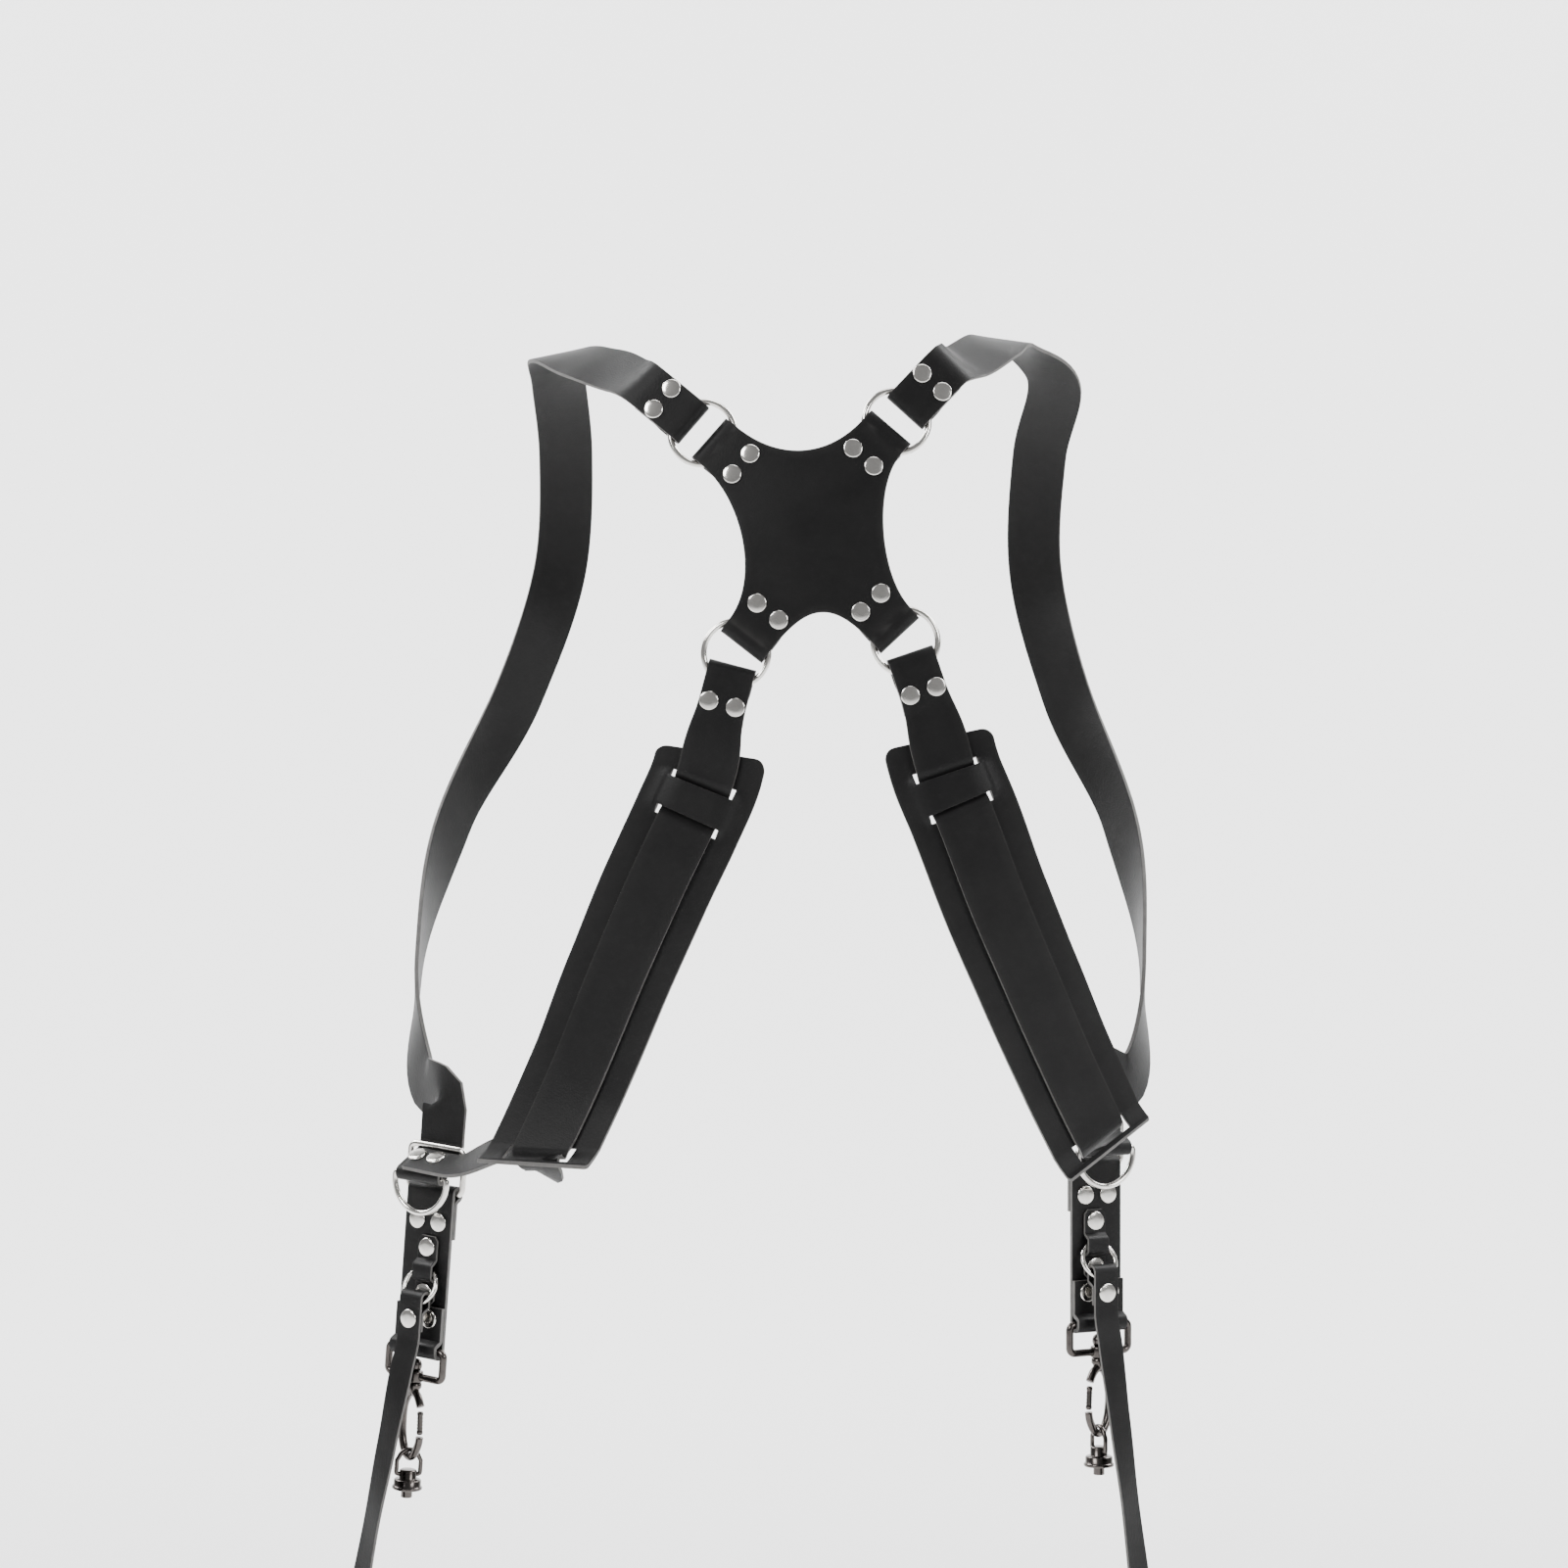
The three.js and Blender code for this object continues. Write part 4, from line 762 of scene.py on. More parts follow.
class Route:
    """A smooth way through points with their outward directions."""

    def __init__(
        self,
        points: Sequence[Vector],
        normals: Sequence[Vector],
        pinned: dict[int, Vector] | None = None,
        steps: int = 16,
    ) -> None:
        """Works out the way's frames.

        Args:
            points: The places that it passes.
            normals: The leather's outward direction at each.
            pinned: Directions that are set, by the point's number.
            steps: Steps to a span.
        """
        last = len(points) - 1
        spans = [(b - a).length for a, b in zip(points, points[1:])]
        slopes = [(points[i + 1] - points[i]) / spans[i] for i in range(last)]
        tangents = []
        for i in range(last + 1):
            if pinned and i in pinned:
                tangents.append(pinned[i])
            elif i <= 1:
                tangents.append(slopes[0])
            elif i >= last - 1:
                tangents.append(slopes[last - 1])
            else:
                mixed = slopes[i - 1] * spans[i] + slopes[i] * spans[i - 1]
                tangents.append(mixed / (spans[i] + spans[i - 1]))
        self.at: list[float] = []
        self.points: list[Vector] = []
        self.normals: list[Vector] = []
        length = 0.0
        for i in range(last):
            for k in range(1 if i else 0, steps + 1):
                u = k / steps
                point = points[i] * ((1 + 2 * u) * (1 - u) ** 2)
                point = point + points[i + 1] * (u * u * (3 - 2 * u))
                point += tangents[i] * (spans[i] * u * (1 - u) ** 2)
                point += tangents[i + 1] * (spans[i] * u * u * (u - 1))
                if self.points:
                    length += (point - self.points[-1]).length
                self.at.append(length)
                self.points.append(point)
                self.normals.append(normals[i].lerp(normals[i + 1], smooth(u)).normalized())
        self.length = length
        self.along: list[Vector] = []
        self.across: list[Vector] = []
        for i, normal in enumerate(self.normals):
            ahead = self.points[min(i + 1, len(self.points) - 1)] - self.points[max(i - 1, 0)]
            along = ahead.normalized()
            normal = (normal - along * normal.dot(along)).normalized()
            self.normals[i] = normal
            self.along.append(along)
            self.across.append(along.cross(normal))

    def place(self, s: float, w: float, n: float, slant: float = 0.0) -> Vector:
        """Where a place of the strip lies.

        Args:
            s: How far along it.
            w: How far across it from its middle.
            n: How far off its middle surface, outwards.
            slant: How far a place is carried along, as a share of its way across.

        Returns:
            The place.
        """
        high = min(max(bisect.bisect_left(self.at, s), 1), len(self.at) - 1)
        low = high - 1
        span = self.at[high] - self.at[low]
        u = (s - self.at[low]) / span
        inside = min(max(u, 0.0), 1.0)
        along = self.along[low].lerp(self.along[high], inside).normalized()
        normal = self.normals[low].lerp(self.normals[high], inside).normalized()
        across = self.across[low].lerp(self.across[high], inside).normalized()
        point = self.points[low].lerp(self.points[high], inside)
        return point + along * ((u - inside) * span + slant * w) + across * w + normal * n

    def frame_at(self, s: float, w: float = 0.0, n: float = 0.0) -> Matrix:
        """The frame of a place: X across, Y along and Z outwards."""
        origin = self.place(s, w, n)
        across = self.place(s, w + 1.0, n) - origin
        out = self.place(s, w, n + 1.0) - origin
        return basis(across, out.cross(across), out, origin)


COLUMNS = (-1.0, -0.93, -0.6, -0.2, 0.2, 0.6, 0.93, 1.0)
BORDERS = (1.0, 0.25, 0.0, 0.0, 0.0, 0.0, 0.25, 1.0)


def strip(
    bench: Bench,
    points: Sequence[tuple[float, float]],
    half_width: Callable[[float], float],
    place: Place,
) -> bmesh.types.BMesh:
    """A strip's middle surface, from its edge view.

    Args:
        bench: The mesh tools.
        points: The edge view.
        half_width: Half of the strip's width at each length.
        place: Where each place of the strip lies.

    Returns:
        The surface.
    """
    rows = [[place(s, half_width(s) * c, n) for c in COLUMNS] for s, n in points]
    return bench.grid(rows, BORDERS)


@dataclass(frozen=True)
class Rivet:
    """A double-cap rivet: a flat dome with a rolled rim on each side."""

    radius: float = 5.0
    shank: float = 1.6
    rise: float = 1.3
    seat: float = 0.1
    steps: int = 40
    shares: Pairs = (
        (0.0, 1.0), (0.34, 0.985), (0.62, 0.93), (0.74, 0.85), (0.80, 0.80), (0.87, 0.80),
        (0.94, 0.68), (0.985, 0.46), (1.0, 0.24), (0.985, 0.06), (0.93, -0.02),
    )

    def cap(self, base: float, way: int) -> list[tuple[float, float]]:
        """One cap's profile, from its middle out to the shank.

        Args:
            base: The height of the leather's face.
            way: 1 for the upper cap, -1 for the lower.

        Returns:
            Pairs of radius and height.
        """
        seat, rise = way * self.seat, way * self.rise
        points = [(self.radius * r, base + seat + rise * h) for r, h in self.shares]
        return points + [(self.shank, base + seat / 2)]

    def mesh(self, bench: Bench, where: Matrix, top: float, bottom: float) -> bmesh.types.BMesh:
        """The rivet through a stack of leather.

        Args:
            bench: The mesh tools.
            where: The rivet's frame.
            top: The stack's upper face.
            bottom: The stack's lower face.

        Returns:
            The mesh.
        """
        profile = self.cap(top, 1) + self.cap(bottom, -1)[::-1]
        return bench.spun(profile, where, self.steps)


RIVET = Rivet()


def rivet_pair(
    bench: Bench, stem: str, where: Matrix, spacing: float = STOCK.rivet_spacing
) -> None:
    """Two rivets side by side through a folded end.

    Args:
        bench: The mesh tools.
        stem: Their names without the last letter.
        where: The frame between them.
        spacing: The distance between them.
    """
    for letter, way in (("a", -0.5), ("b", 0.5)):
        mesh = RIVET.mesh(bench, shifted(where, way * spacing, 0.0, 0.0), *STOCK.pair)
        bench.metal(mesh, f"{stem}_{letter}", "cap")


@dataclass
class Wearer:
    """The form that the harness is shaped to."""

    chest_width: float = 386.0
    chest_depth: float = 236.0
    hip_drop: float = 440.0
    lean: float = -19.0

    def place(self, side: Side, row: Row) -> Vector:
        """A place round the wearer, from shares of the form's sizes."""
        return Vector(
            (
                self.lean * row.down + side.value * row.out * self.chest_width / 2,
                -row.back * self.chest_depth / 2,
                -row.down * self.hip_drop,
            )
        )

    @staticmethod
    def outward(side: Side, turn: float, rise: float) -> Vector:
        """An outward direction, from degrees to the strap's own side and upwards."""
        flat = math.cos(math.radians(rise))
        angle = math.radians(turn)
        return Vector(
            (
                side.value * math.sin(angle) * flat,
                -math.cos(angle) * flat,
                math.sin(math.radians(rise)),
            )
        )


@dataclass(frozen=True)
class Row:
    """A place round the wearer in shares of the form, and the leather's direction there."""

    out: float
    back: float
    down: float
    turn: float = 0.0
    rise: float = 0.0


@dataclass(frozen=True)
class ShelfRow:
    """A place on a hip's shelf, and the leather's direction there in the shelf's own shares."""

    across: float
    along: float
    above: float
    normal: Triple


@dataclass(frozen=True)
class Hang:
    """How one side of the harness hangs."""

    side: Side
    hip: Row
    hip_lean: float
    shoulder: tuple[Row, ...]
    padded: tuple[Row, ...]
    tip: Row
    skew: float
    shelf: tuple[ShelfRow, ...]


HANGS = (
    Hang(
        side=Side.LEFT,
        hip=Row(0.915, 0.466, 1.0, 33.0),
        hip_lean=-5.0,
        shoulder=(
            Row(0.49, 0.7, 0.056, 18, 35),
            Row(0.6, 0.47, 0.035, 24, 52),
            Row(0.695, 0.13, 0.017, 30, 72),
        ),
        padded=(
            Row(0.22, 1.02, 0.53, 5, 2),
            Row(0.262, 1.025, 0.578, 6, 0),
            Row(0.335, 1.017, 0.653, 10, 0),
            Row(0.437, 0.966, 0.767, 18, 0),
            Row(0.533, 0.905, 0.882, 24, 0),
            Row(0.622, 0.915, 0.974, 27, 0),
        ),
        tip=Row(0.652, 0.925, 1.002, 27, 0),
        skew=22.0,
        shelf=(
            ShelfRow(73.5, 7.4, 3.2, (-0.5, 0.0, 0.84)),
            ShelfRow(50, -0.7, 8.8, (-0.95, 0.0, -0.3)),
            ShelfRow(18, 14, 2.6, (-1.0, 0.0, 0.0)),
            ShelfRow(-8, 12.6, 2.5, (-1.0, 0.0, 0.0)),
        ),
    ),
    Hang(
        side=Side.RIGHT,
        hip=Row(0.87, 0.466, 0.968, 28.0),
        hip_lean=0.0,
        shoulder=(
            Row(0.43, 0.68, 0.04, 12, 36),
            Row(0.505, 0.42, 0.014, 18, 55),
            Row(0.555, 0.11, 0.0, 20, 76),
        ),
        padded=(
            Row(0.418, 1.02, 0.529, 5, 2),
            Row(0.463, 1.025, 0.572, 6, 0),
            Row(0.555, 1.006, 0.668, 11, 0),
            Row(0.66, 0.966, 0.767, 17, 0),
            Row(0.786, 0.86, 0.88, 23, 0),
            Row(0.878, 0.803, 0.957, 25, 3),
        ),
        tip=Row(0.9, 0.775, 0.975, 26, 3),
        skew=0.0,
        shelf=(
            ShelfRow(-13, 31, 6.5, (-0.78, 0.46, 0.42)),
            ShelfRow(-5, 14.5, 2.5, (-1.0, 0.0, 0.0)),
            ShelfRow(-3, 3.2, 2.5, (-1.0, 0.0, 0.0)),
        ),
    ),
)

CHEST = (
    Row(0.705, -0.3, 0.035, 150, 58),
    Row(0.69, -0.72, 0.12, 168, 28),
    Row(0.7, -0.95, 0.26, 166, 6),
    Row(0.8, -0.86, 0.42, 150, 0),
    Row(0.955, -0.52, 0.58, 122, 0),
    Row(1.02, -0.08, 0.77, 88, 0),
    Row(0.975, 0.22, 0.9, 55, 0),
)


# The back plate


@dataclass(frozen=True)
class Arm:
    """An arm of the plate: its ring's place in shares of the reach, and its aims in degrees."""

    name: str
    across: float
    up: float
    aim: float
    strap: float


@dataclass
class BackPlate:
    """The cross-shaped plate with its folded arms and its four rings."""

    bench: Bench
    wearer: Wearer
    drop: float = 107.7
    pitch: float = 5.0
    reach: float = 72.0
    arm_width: float = 26.5
    dish_radius: float = 30.0
    dish_slope: float = 0.11
    ring_radius: float = 16.6
    ring_wire: float = 1.6
    fold_run: float = 3.0
    outline_steps: int = 26
    arms: tuple[Arm, ...] = (
        Arm("upper_left", -0.762, 0.722, 139.0, 139.6),
        Arm("upper_right", 0.63, 0.806, 49.0, 47.3),
        Arm("lower_left", -0.52, -0.87, 232.0, 255.0),
        Arm("lower_right", 0.69, -0.785, -47.0, -71.0),
    )
    waists: tuple[tuple[int, int, float], ...] = (
        (1, 0, 0.39), (0, 2, 0.37), (2, 3, 0.42), (3, 1, 0.32),
    )

    def __post_init__(self) -> None:
        """Works out the plate's frame and its folds."""
        tilt = Matrix.Rotation(math.radians(90.0 - self.pitch), 4, "X")
        self.frame = Matrix.Translation((0.0, -self.wearer.chest_depth / 2, -self.drop)) @ tilt
        self.fold_radius = self.ring_wire + 1.5 * STOCK.gap + STOCK.thick / 2
        self.cavity = self.ring_radius + self.ring_wire + STOCK.gap

    def folded(self, wire_at: float) -> Pen:
        """The edge view of a strip's start, folded round one of the rings."""
        return folded_start(wire_at, self.fold_radius, self.cavity, STOCK.tail)

    def fold_at(self, width: float) -> float:
        """Where a fold of a given width goes round a ring."""
        crossing = math.sqrt(self.ring_radius**2 - (width / 2) ** 2)
        return crossing - self.ring_wire * (self.ring_radius / crossing - 1.0) - STOCK.gap

    def arm_flat(self, arm: Arm, s: float, w: float) -> Vector:
        """A flat place of an arm, which starts at its ring and runs towards the plate."""
        angle = math.radians(arm.aim)
        out = Vector((math.cos(angle), math.sin(angle), 0.0))
        ring = Vector((arm.across, arm.up, 0.0)) * self.reach
        return ring - out * s + Vector((-out.y, out.x, 0.0)) * w

    def dished(self, flat: Vector, n: float) -> Vector:
        """A place of the plate in the harness, dished to the back."""
        radius = math.hypot(flat.x, flat.y)
        inner = min(radius, self.dish_radius)
        sunk = self.dish_slope * inner * inner / (2.0 * self.dish_radius)
        sunk += self.dish_slope * (radius - inner)
        return self.frame @ Vector((flat.x, flat.y, n - sunk))

    def ring_frame(self, arm: Arm, aim: float | None = None) -> Matrix:
        """The frame of a ring: X across, Y away from the plate and Z outwards.

        Args:
            arm: The ring's arm.
            aim: Another way for Y to point, in degrees, or none for the arm's own.

        Returns:
            The frame.
        """
        middle = self.dished(self.arm_flat(arm, 0, 0), 0)
        away = (middle - self.dished(self.arm_flat(arm, 2 * self.ring_radius, 0), 0)).normalized()
        one, other = self.arm_flat(arm, 0, -1), self.arm_flat(arm, 0, 1)
        out = (self.dished(one, 0) - self.dished(other, 0)).cross(away).normalized()
        angle = math.radians((arm.aim if aim is None else aim) - arm.aim)
        return basis(away.cross(out), away, out, middle) @ Matrix.Rotation(angle, 4, "Z")

    def outline(self) -> list[Vector]:
        """The flat outline, arm end by arm end, with a concave side after each."""
        half = self.arm_width / 2
        start = self.fold_at(self.arm_width) + self.fold_run
        points: list[Vector] = []
        for first, second, pull in self.waists:
            source, target = self.arms[first], self.arms[second]
            points += [self.arm_flat(source, start, half * c) for c in COLUMNS[:-1]]
            reach = start + pull * self.reach
            a, b = self.arm_flat(source, start, half), self.arm_flat(target, start, -half)
            c, d = self.arm_flat(source, reach, half), self.arm_flat(target, reach, -half)
            for i in range(self.outline_steps):
                u = i / self.outline_steps
                point = a * (1 - u) ** 3 + c * (3 * u * (1 - u) ** 2)
                points.append(point + d * (3 * u * u * (1 - u)) + b * u**3)
        return points

    def build(self) -> None:
        """Makes the plate, its rivets and its rings."""
        outline = self.outline()
        outline.append(outline[0])
        shares = (0.0, 0.15, 0.3, 0.45, 0.6, 0.75, 0.88, 0.96, 1.0)
        borders = (0.0,) * 7 + (0.25, 1.0)
        rows = [[self.dished(p * share, 0.0) for share in shares] for p in outline]
        mesh = self.bench.grid(rows, borders)
        wire_at = self.fold_at(self.arm_width)
        half = self.arm_width / 2
        for arm in self.arms:
            pen = self.folded(wire_at).run(self.fold_run, 2)
            rows = [
                [self.dished(self.arm_flat(arm, s, half * c), n) for c in COLUMNS]
                for s, n in pen.points
            ]
            self.bench.grid(rows, BORDERS, mesh)
        bmesh.ops.remove_doubles(mesh, verts=mesh.verts, dist=1e-3)
        self.bench.leather(mesh, "back_plate", name="plate_leather")
        for arm in self.arms:
            where = self.ring_frame(arm)
            where.translation = self.dished(self.arm_flat(arm, STOCK.rivet_setback, 0), 0)
            rivet_pair(self.bench, f"rivet_plate_{arm.name}", where)
            ring = shifted(self.ring_frame(arm), 0.0, 0.0, -self.fold_radius)
            circle = arc(0, 0, self.ring_radius, 0, 360, 96)[:-1]
            mesh = self.bench.tube(circle, self.ring_wire, ring, sides=20)
            self.bench.metal(mesh, f"o_ring_{arm.name}", "wire")

    def strap_start(self, name: str) -> tuple[list[Vector], list[Vector]]:
        """The start of a strap's route at one of the rings.

        Args:
            name: The ring's name.

        Returns:
            The first places and the leather's directions there.
        """
        arm = next(one for one in self.arms if one.name == name)
        where = self.ring_frame(arm, arm.strap)
        normal = where.to_3x3() @ UP
        points = [where @ Vector((0.0, y, 0.0)) for y in (0.0, STOCK.tail + 2.0)]
        return points, [normal, normal]


# The straps and pads


def taper(narrow: float, wide: float, start: float, length: float) -> Callable[[float], float]:
    """A half width that eases from one width to another.

    Args:
        narrow: The first width.
        wide: The second width.
        start: Where it starts to change.
        length: How long the change takes.

    Returns:
        The half width at each length.
    """

    def half(s: float) -> float:
        """Half of the width at a length."""
        return (narrow + (wide - narrow) * smooth((s - start) / length)) / 2

    return half


@dataclass
class Shelf:
    """The leather that runs out through the hip ring to the D-ring, and the ring's frame."""

    wearer: Wearer
    hang: Hang
    ring_height: float = 23.5
    ring_wire: float = 1.75
    angle: float = 62.0
    run: float = 18.0
    tail: float = 12.0
    width: float = 28.0
    d_wire: float = 1.6

    def __post_init__(self) -> None:
        """Works out the folds and the hip ring's frame."""
        self.fold = self.ring_wire + STOCK.gap + STOCK.thick / 2
        self.d_fold = self.d_wire + STOCK.gap + STOCK.thick / 2
        self.top_bar = self.ring_height / 2
        self.down = math.cos(math.radians(self.angle))
        self.out = math.sin(math.radians(self.angle))
        outward = Wearer.outward(self.hang.side, self.hang.hip.turn, 0.0)
        middle = self.wearer.place(self.hang.side, self.hang.hip)
        upright = basis(UP.cross(outward), UP, outward, middle)
        self.frame = upright @ Matrix.Rotation(math.radians(self.hang.hip_lean), 4, "Z")

    def place(self, across: float, along: float, above: float) -> Vector:
        """A place of the shelf in the hip ring's frame."""
        return Vector(
            (
                across,
                self.top_bar - self.fold * self.out - along * self.down + above * self.out,
                -self.fold * self.down + along * self.out + above * self.down,
            )
        )

    def direction(self, row: ShelfRow) -> Vector:
        """The leather's outward direction at a row of the shelf, in the harness."""
        above, across, along = row.normal
        local = self.place(across, along, above) - self.place(0, 0, 0)
        return (self.frame.to_3x3() @ local).normalized()


@dataclass
class Straps:
    """One side's shoulder strap, side strap and pad."""

    bench: Bench
    wearer: Wearer
    plate: BackPlate
    shelf: Shelf
    width: float = 30.0
    ring_width: float = 24.5
    taper_length: float = 60.0
    side_end_width: float = 18.0
    pad_width: float = 57.0
    pad_length: float = 234.0
    pad_start: float = 52.0
    pad_corner: float = 6.0
    pad_end_corner: float = 1.5
    slot_width: float = 4.8
    end_slot_width: float = 9.0
    weave_share: float = 0.65
    pad_easing: float = 0.26
    bridge_start: float = 17.0
    bridge_length: float = 21.0
    bridge_margin: float = 2.0
    bridge_slope: float = 4.0
    border: float = 1.3
    end_margin: float = 8.0
    tip_radius: float = 4.0
    tip_angle: float = 70.0
    stop_gap: float = 0.3
    slot_gap: float = 0.8
    corner_stops: tuple[float, ...] = (0.0, 0.3, 0.9, 1.9, 3.2, 4.6)
    end_stops: tuple[float, ...] = (0.0, 0.15, 0.5, 1.5, 2.5)
    end_run: float = 3.4
    hip_straight: float = 22.0

    def __post_init__(self) -> None:
        """Works out the slots."""
        self.hang = self.shelf.hang
        self.label = self.hang.side.label
        first = self.bridge_start
        self.slots = (first, first + self.bridge_length, self.pad_length - self.end_margin)
        self.strap_weave = self.weave_share * self.slot_width
        self.pad_weave = self.slot_width / 2
        self.layer = STOCK.layer + self.pad_easing

    def shoulder(self) -> None:
        """Makes the strap over the shoulder, down the chest and out through the hip ring."""
        side = self.hang.side
        points, normals = self.plate.strap_start(f"upper_{self.label}")
        rows = [*self.hang.shoulder, *CHEST]
        points += [self.wearer.place(side, row) for row in rows]
        normals += [Wearer.outward(side, row.turn, row.rise) for row in rows]
        shelf = self.shelf
        for y in (shelf.top_bar + self.hip_straight, shelf.top_bar):
            points.append(shelf.frame @ Vector((0.0, y, -shelf.fold)))
            normals.append(shelf.frame.to_3x3() @ UP)
        route = Route(points, normals)
        wire_at = self.plate.fold_at(self.ring_width)
        pen = self.plate.folded(wire_at)
        pen.run(STOCK.tail - wire_at, 6).run(route.length - STOCK.tail, 130)
        pen.turn(shelf.fold, shelf.angle, 8).run(shelf.run, 5)
        pen.fold(shelf.d_fold, shelf.d_wire, shelf.tail, -1, STOCK.layer)
        upper = taper(self.ring_width, self.width, STOCK.tail, self.taper_length)
        low = route.length - self.taper_length
        lower = taper(self.width, shelf.width, low, self.taper_length - 5)
        mesh = strip(self.bench, pen.points, lambda s: min(upper(s), lower(s)), route.place)
        self.bench.leather(mesh, f"shoulder_strap_{self.label}")
        where = route.frame_at(STOCK.rivet_setback)
        rivet_pair(self.bench, f"rivet_shoulder_{self.label}", where)

    def padded_route(self, to_shelf: bool) -> Route:
        """The way of the pad, or of its strap.

        Args:
            to_shelf: Whether it goes on to the shelf.

        Returns:
            The route.
        """
        side = self.hang.side
        points, normals = self.plate.strap_start(f"lower_{self.label}")
        rows = list(self.hang.padded)
        if not to_shelf:
            rows.append(self.hang.tip)
        slot = len(points) + len(self.hang.padded) - 1
        points += [self.wearer.place(side, row) for row in rows]
        normals += [Wearer.outward(side, row.turn, row.rise) for row in rows]
        straight = (self.wearer.place(side, self.hang.tip) - points[slot]).normalized()
        pinned = {slot: straight}
        if to_shelf:
            for row in self.hang.shelf:
                points.append(self.shelf.frame @ self.shelf.place(row.across, row.along, row.above))
                normals.append(self.shelf.direction(row))
        return Route(points, normals, pinned)

    def weave(self, s: float, half: float) -> float:
        """1 where the strap lies over the pad and -1 where it lies under it."""
        side = 1.0
        for i, slot in enumerate(self.slots):
            share = smooth((s - self.pad_start - slot + half) / (2.0 * half))
            side += (2.0 if i % 2 else -2.0) * share
        return side

    def skew_share(self, s: float, last: float = math.inf) -> float:
        """How far the leather is skewed along itself near the pad's end."""
        slot = self.pad_start + self.slots[2]
        back = smooth((s - slot) / (last - slot))
        return smooth((s - slot + self.pad_width) / self.pad_width) * (1.0 - back)

    def side_strap(self) -> None:
        """Makes the strap that is woven through the pad."""
        route = self.padded_route(True)
        wire_at = self.plate.fold_at(self.ring_width)
        pen = self.plate.folded(wire_at)
        pen.run(STOCK.tail - wire_at, 6)
        last = route.length
        end = self.pad_start + self.pad_length
        start = self.pad_start
        stops = set(spread(STOCK.tail + 1, start, 4)) | set(spread(start, end, 100))
        stops |= set(spread(end, last, 40))
        for slot in self.slots:
            middle = start + slot
            stops |= set(spread(middle - self.strap_weave, middle + self.strap_weave, 8))

        def lift(s: float) -> float:
            """How far the strap lies off its route."""
            ease_in = smooth((s - STOCK.tail) / (start - STOCK.tail))
            ease_out = 1.0 - smooth((s - end) / (last - end))
            return self.layer / 2 * self.weave(s, self.strap_weave) * ease_in * ease_out

        for s in sorted(stops):
            if s > pen.points[-1][0] + self.stop_gap:
                pen.points.append((s, lift(s)))
        upper = taper(self.ring_width, self.width, STOCK.tail - 10, 0.5 * self.taper_length)
        narrow_from = start + self.slots[2] - 0.15 * self.taper_length
        lower = taper(self.width, self.side_end_width, narrow_from, 0.6 * self.taper_length)
        skew = math.tan(math.radians(self.hang.skew))

        def place(s: float, w: float, n: float) -> Vector:
            """A place of the strap, skewed near the pad's end."""
            return route.place(s, w, n, skew * self.skew_share(s, last))

        mesh = strip(self.bench, pen.points, lambda s: min(upper(s), lower(s)), place)
        self.bench.leather(mesh, f"side_strap_{self.label}")
        where = route.frame_at(STOCK.rivet_setback)
        rivet_pair(self.bench, f"rivet_side_{self.label}", where)

    def tip_of(self, x: float) -> tuple[float, float]:
        """How far along and how far out a place of the pad lies where its end bends out."""
        start = self.slots[2] + self.pad_weave
        past = max(x - start, 0.0)
        angle = min(past / self.tip_radius, math.radians(self.tip_angle))
        rest = past - angle * self.tip_radius
        along = min(x, start) + self.tip_radius * math.sin(angle) + rest * math.cos(angle)
        return along, self.tip_radius * (1.0 - math.cos(angle)) + rest * math.sin(angle)

    def pad(self) -> None:
        """Makes the wide pad with its bridge and its slots."""
        route = self.padded_route(False)
        half = self.pad_width / 2
        bridge = self.width / 2 + self.bridge_margin
        bridge_edge = bridge + self.bridge_slope
        skew = math.tan(math.radians(self.hang.skew))
        stops = set(self.corner_stops) | {self.pad_length - x for x in self.end_stops}
        stops |= set(spread(self.pad_corner, self.pad_length - self.end_run, 90))
        widths = (self.slot_width, self.slot_width, self.end_slot_width)
        for slot, width in zip(self.slots, widths):
            low, high = slot - width / 2, slot + width / 2
            stops = {x for x in stops if not low - self.slot_gap < x < high + self.slot_gap}
            stops |= {low, slot, high}
        ordered = sorted(stops)

        def half_at(x: float) -> float:
            """Half of the pad's width, with its corners rounded."""
            corner = self.pad_corner if x < self.pad_length / 2 else self.pad_end_corner
            inset = max(corner - min(x, self.pad_length - x), 0.0)
            return half - corner + math.sqrt(corner**2 - inset**2)

        def height_at(x: float, w: float) -> float:
            """How far the pad lies off its route."""
            middle = 1.0 - smooth((abs(w) - bridge) / (bridge_edge - bridge))
            past = smooth((x - self.slots[2] + self.pad_weave) / (2.0 * self.pad_weave))
            woven = (1.0 - self.weave(self.pad_start + x, self.pad_weave)) / 2
            return self.layer * (max(woven * middle, past) - 0.5)

        rows = []
        for x in ordered:
            edge = half_at(x)
            side = [edge, edge - self.border, bridge_edge, bridge + self.bridge_slope / 2, bridge]
            columns = [-w for w in side] + [-bridge / 2, 0.0, bridge / 2] + side[::-1]
            along, out = self.tip_of(x)
            at = self.pad_start + along
            slant = skew * self.skew_share(self.pad_start + x)
            rows.append([route.place(at, w, height_at(x, w) + out, slant) for w in columns])

        def opened(i: int, j: int) -> bool:
            """Whether a cell of the pad lies in one of its slots."""
            middle = (ordered[i] + ordered[i + 1]) / 2
            inside = any(abs(middle - s) < wide / 2 for s, wide in zip(self.slots, widths))
            return inside and len(side) - 1 <= j < len(side) + 3

        borders = (1.0, 0.25) + (0.0,) * 9 + (0.25, 1.0)
        mesh = self.bench.grid(rows, borders, opened=opened)
        self.bench.leather(mesh, f"pad_{self.label}")

    def build(self) -> None:
        """Makes this side's leather."""
        self.shoulder()
        self.side_strap()
        self.pad()


# The hips


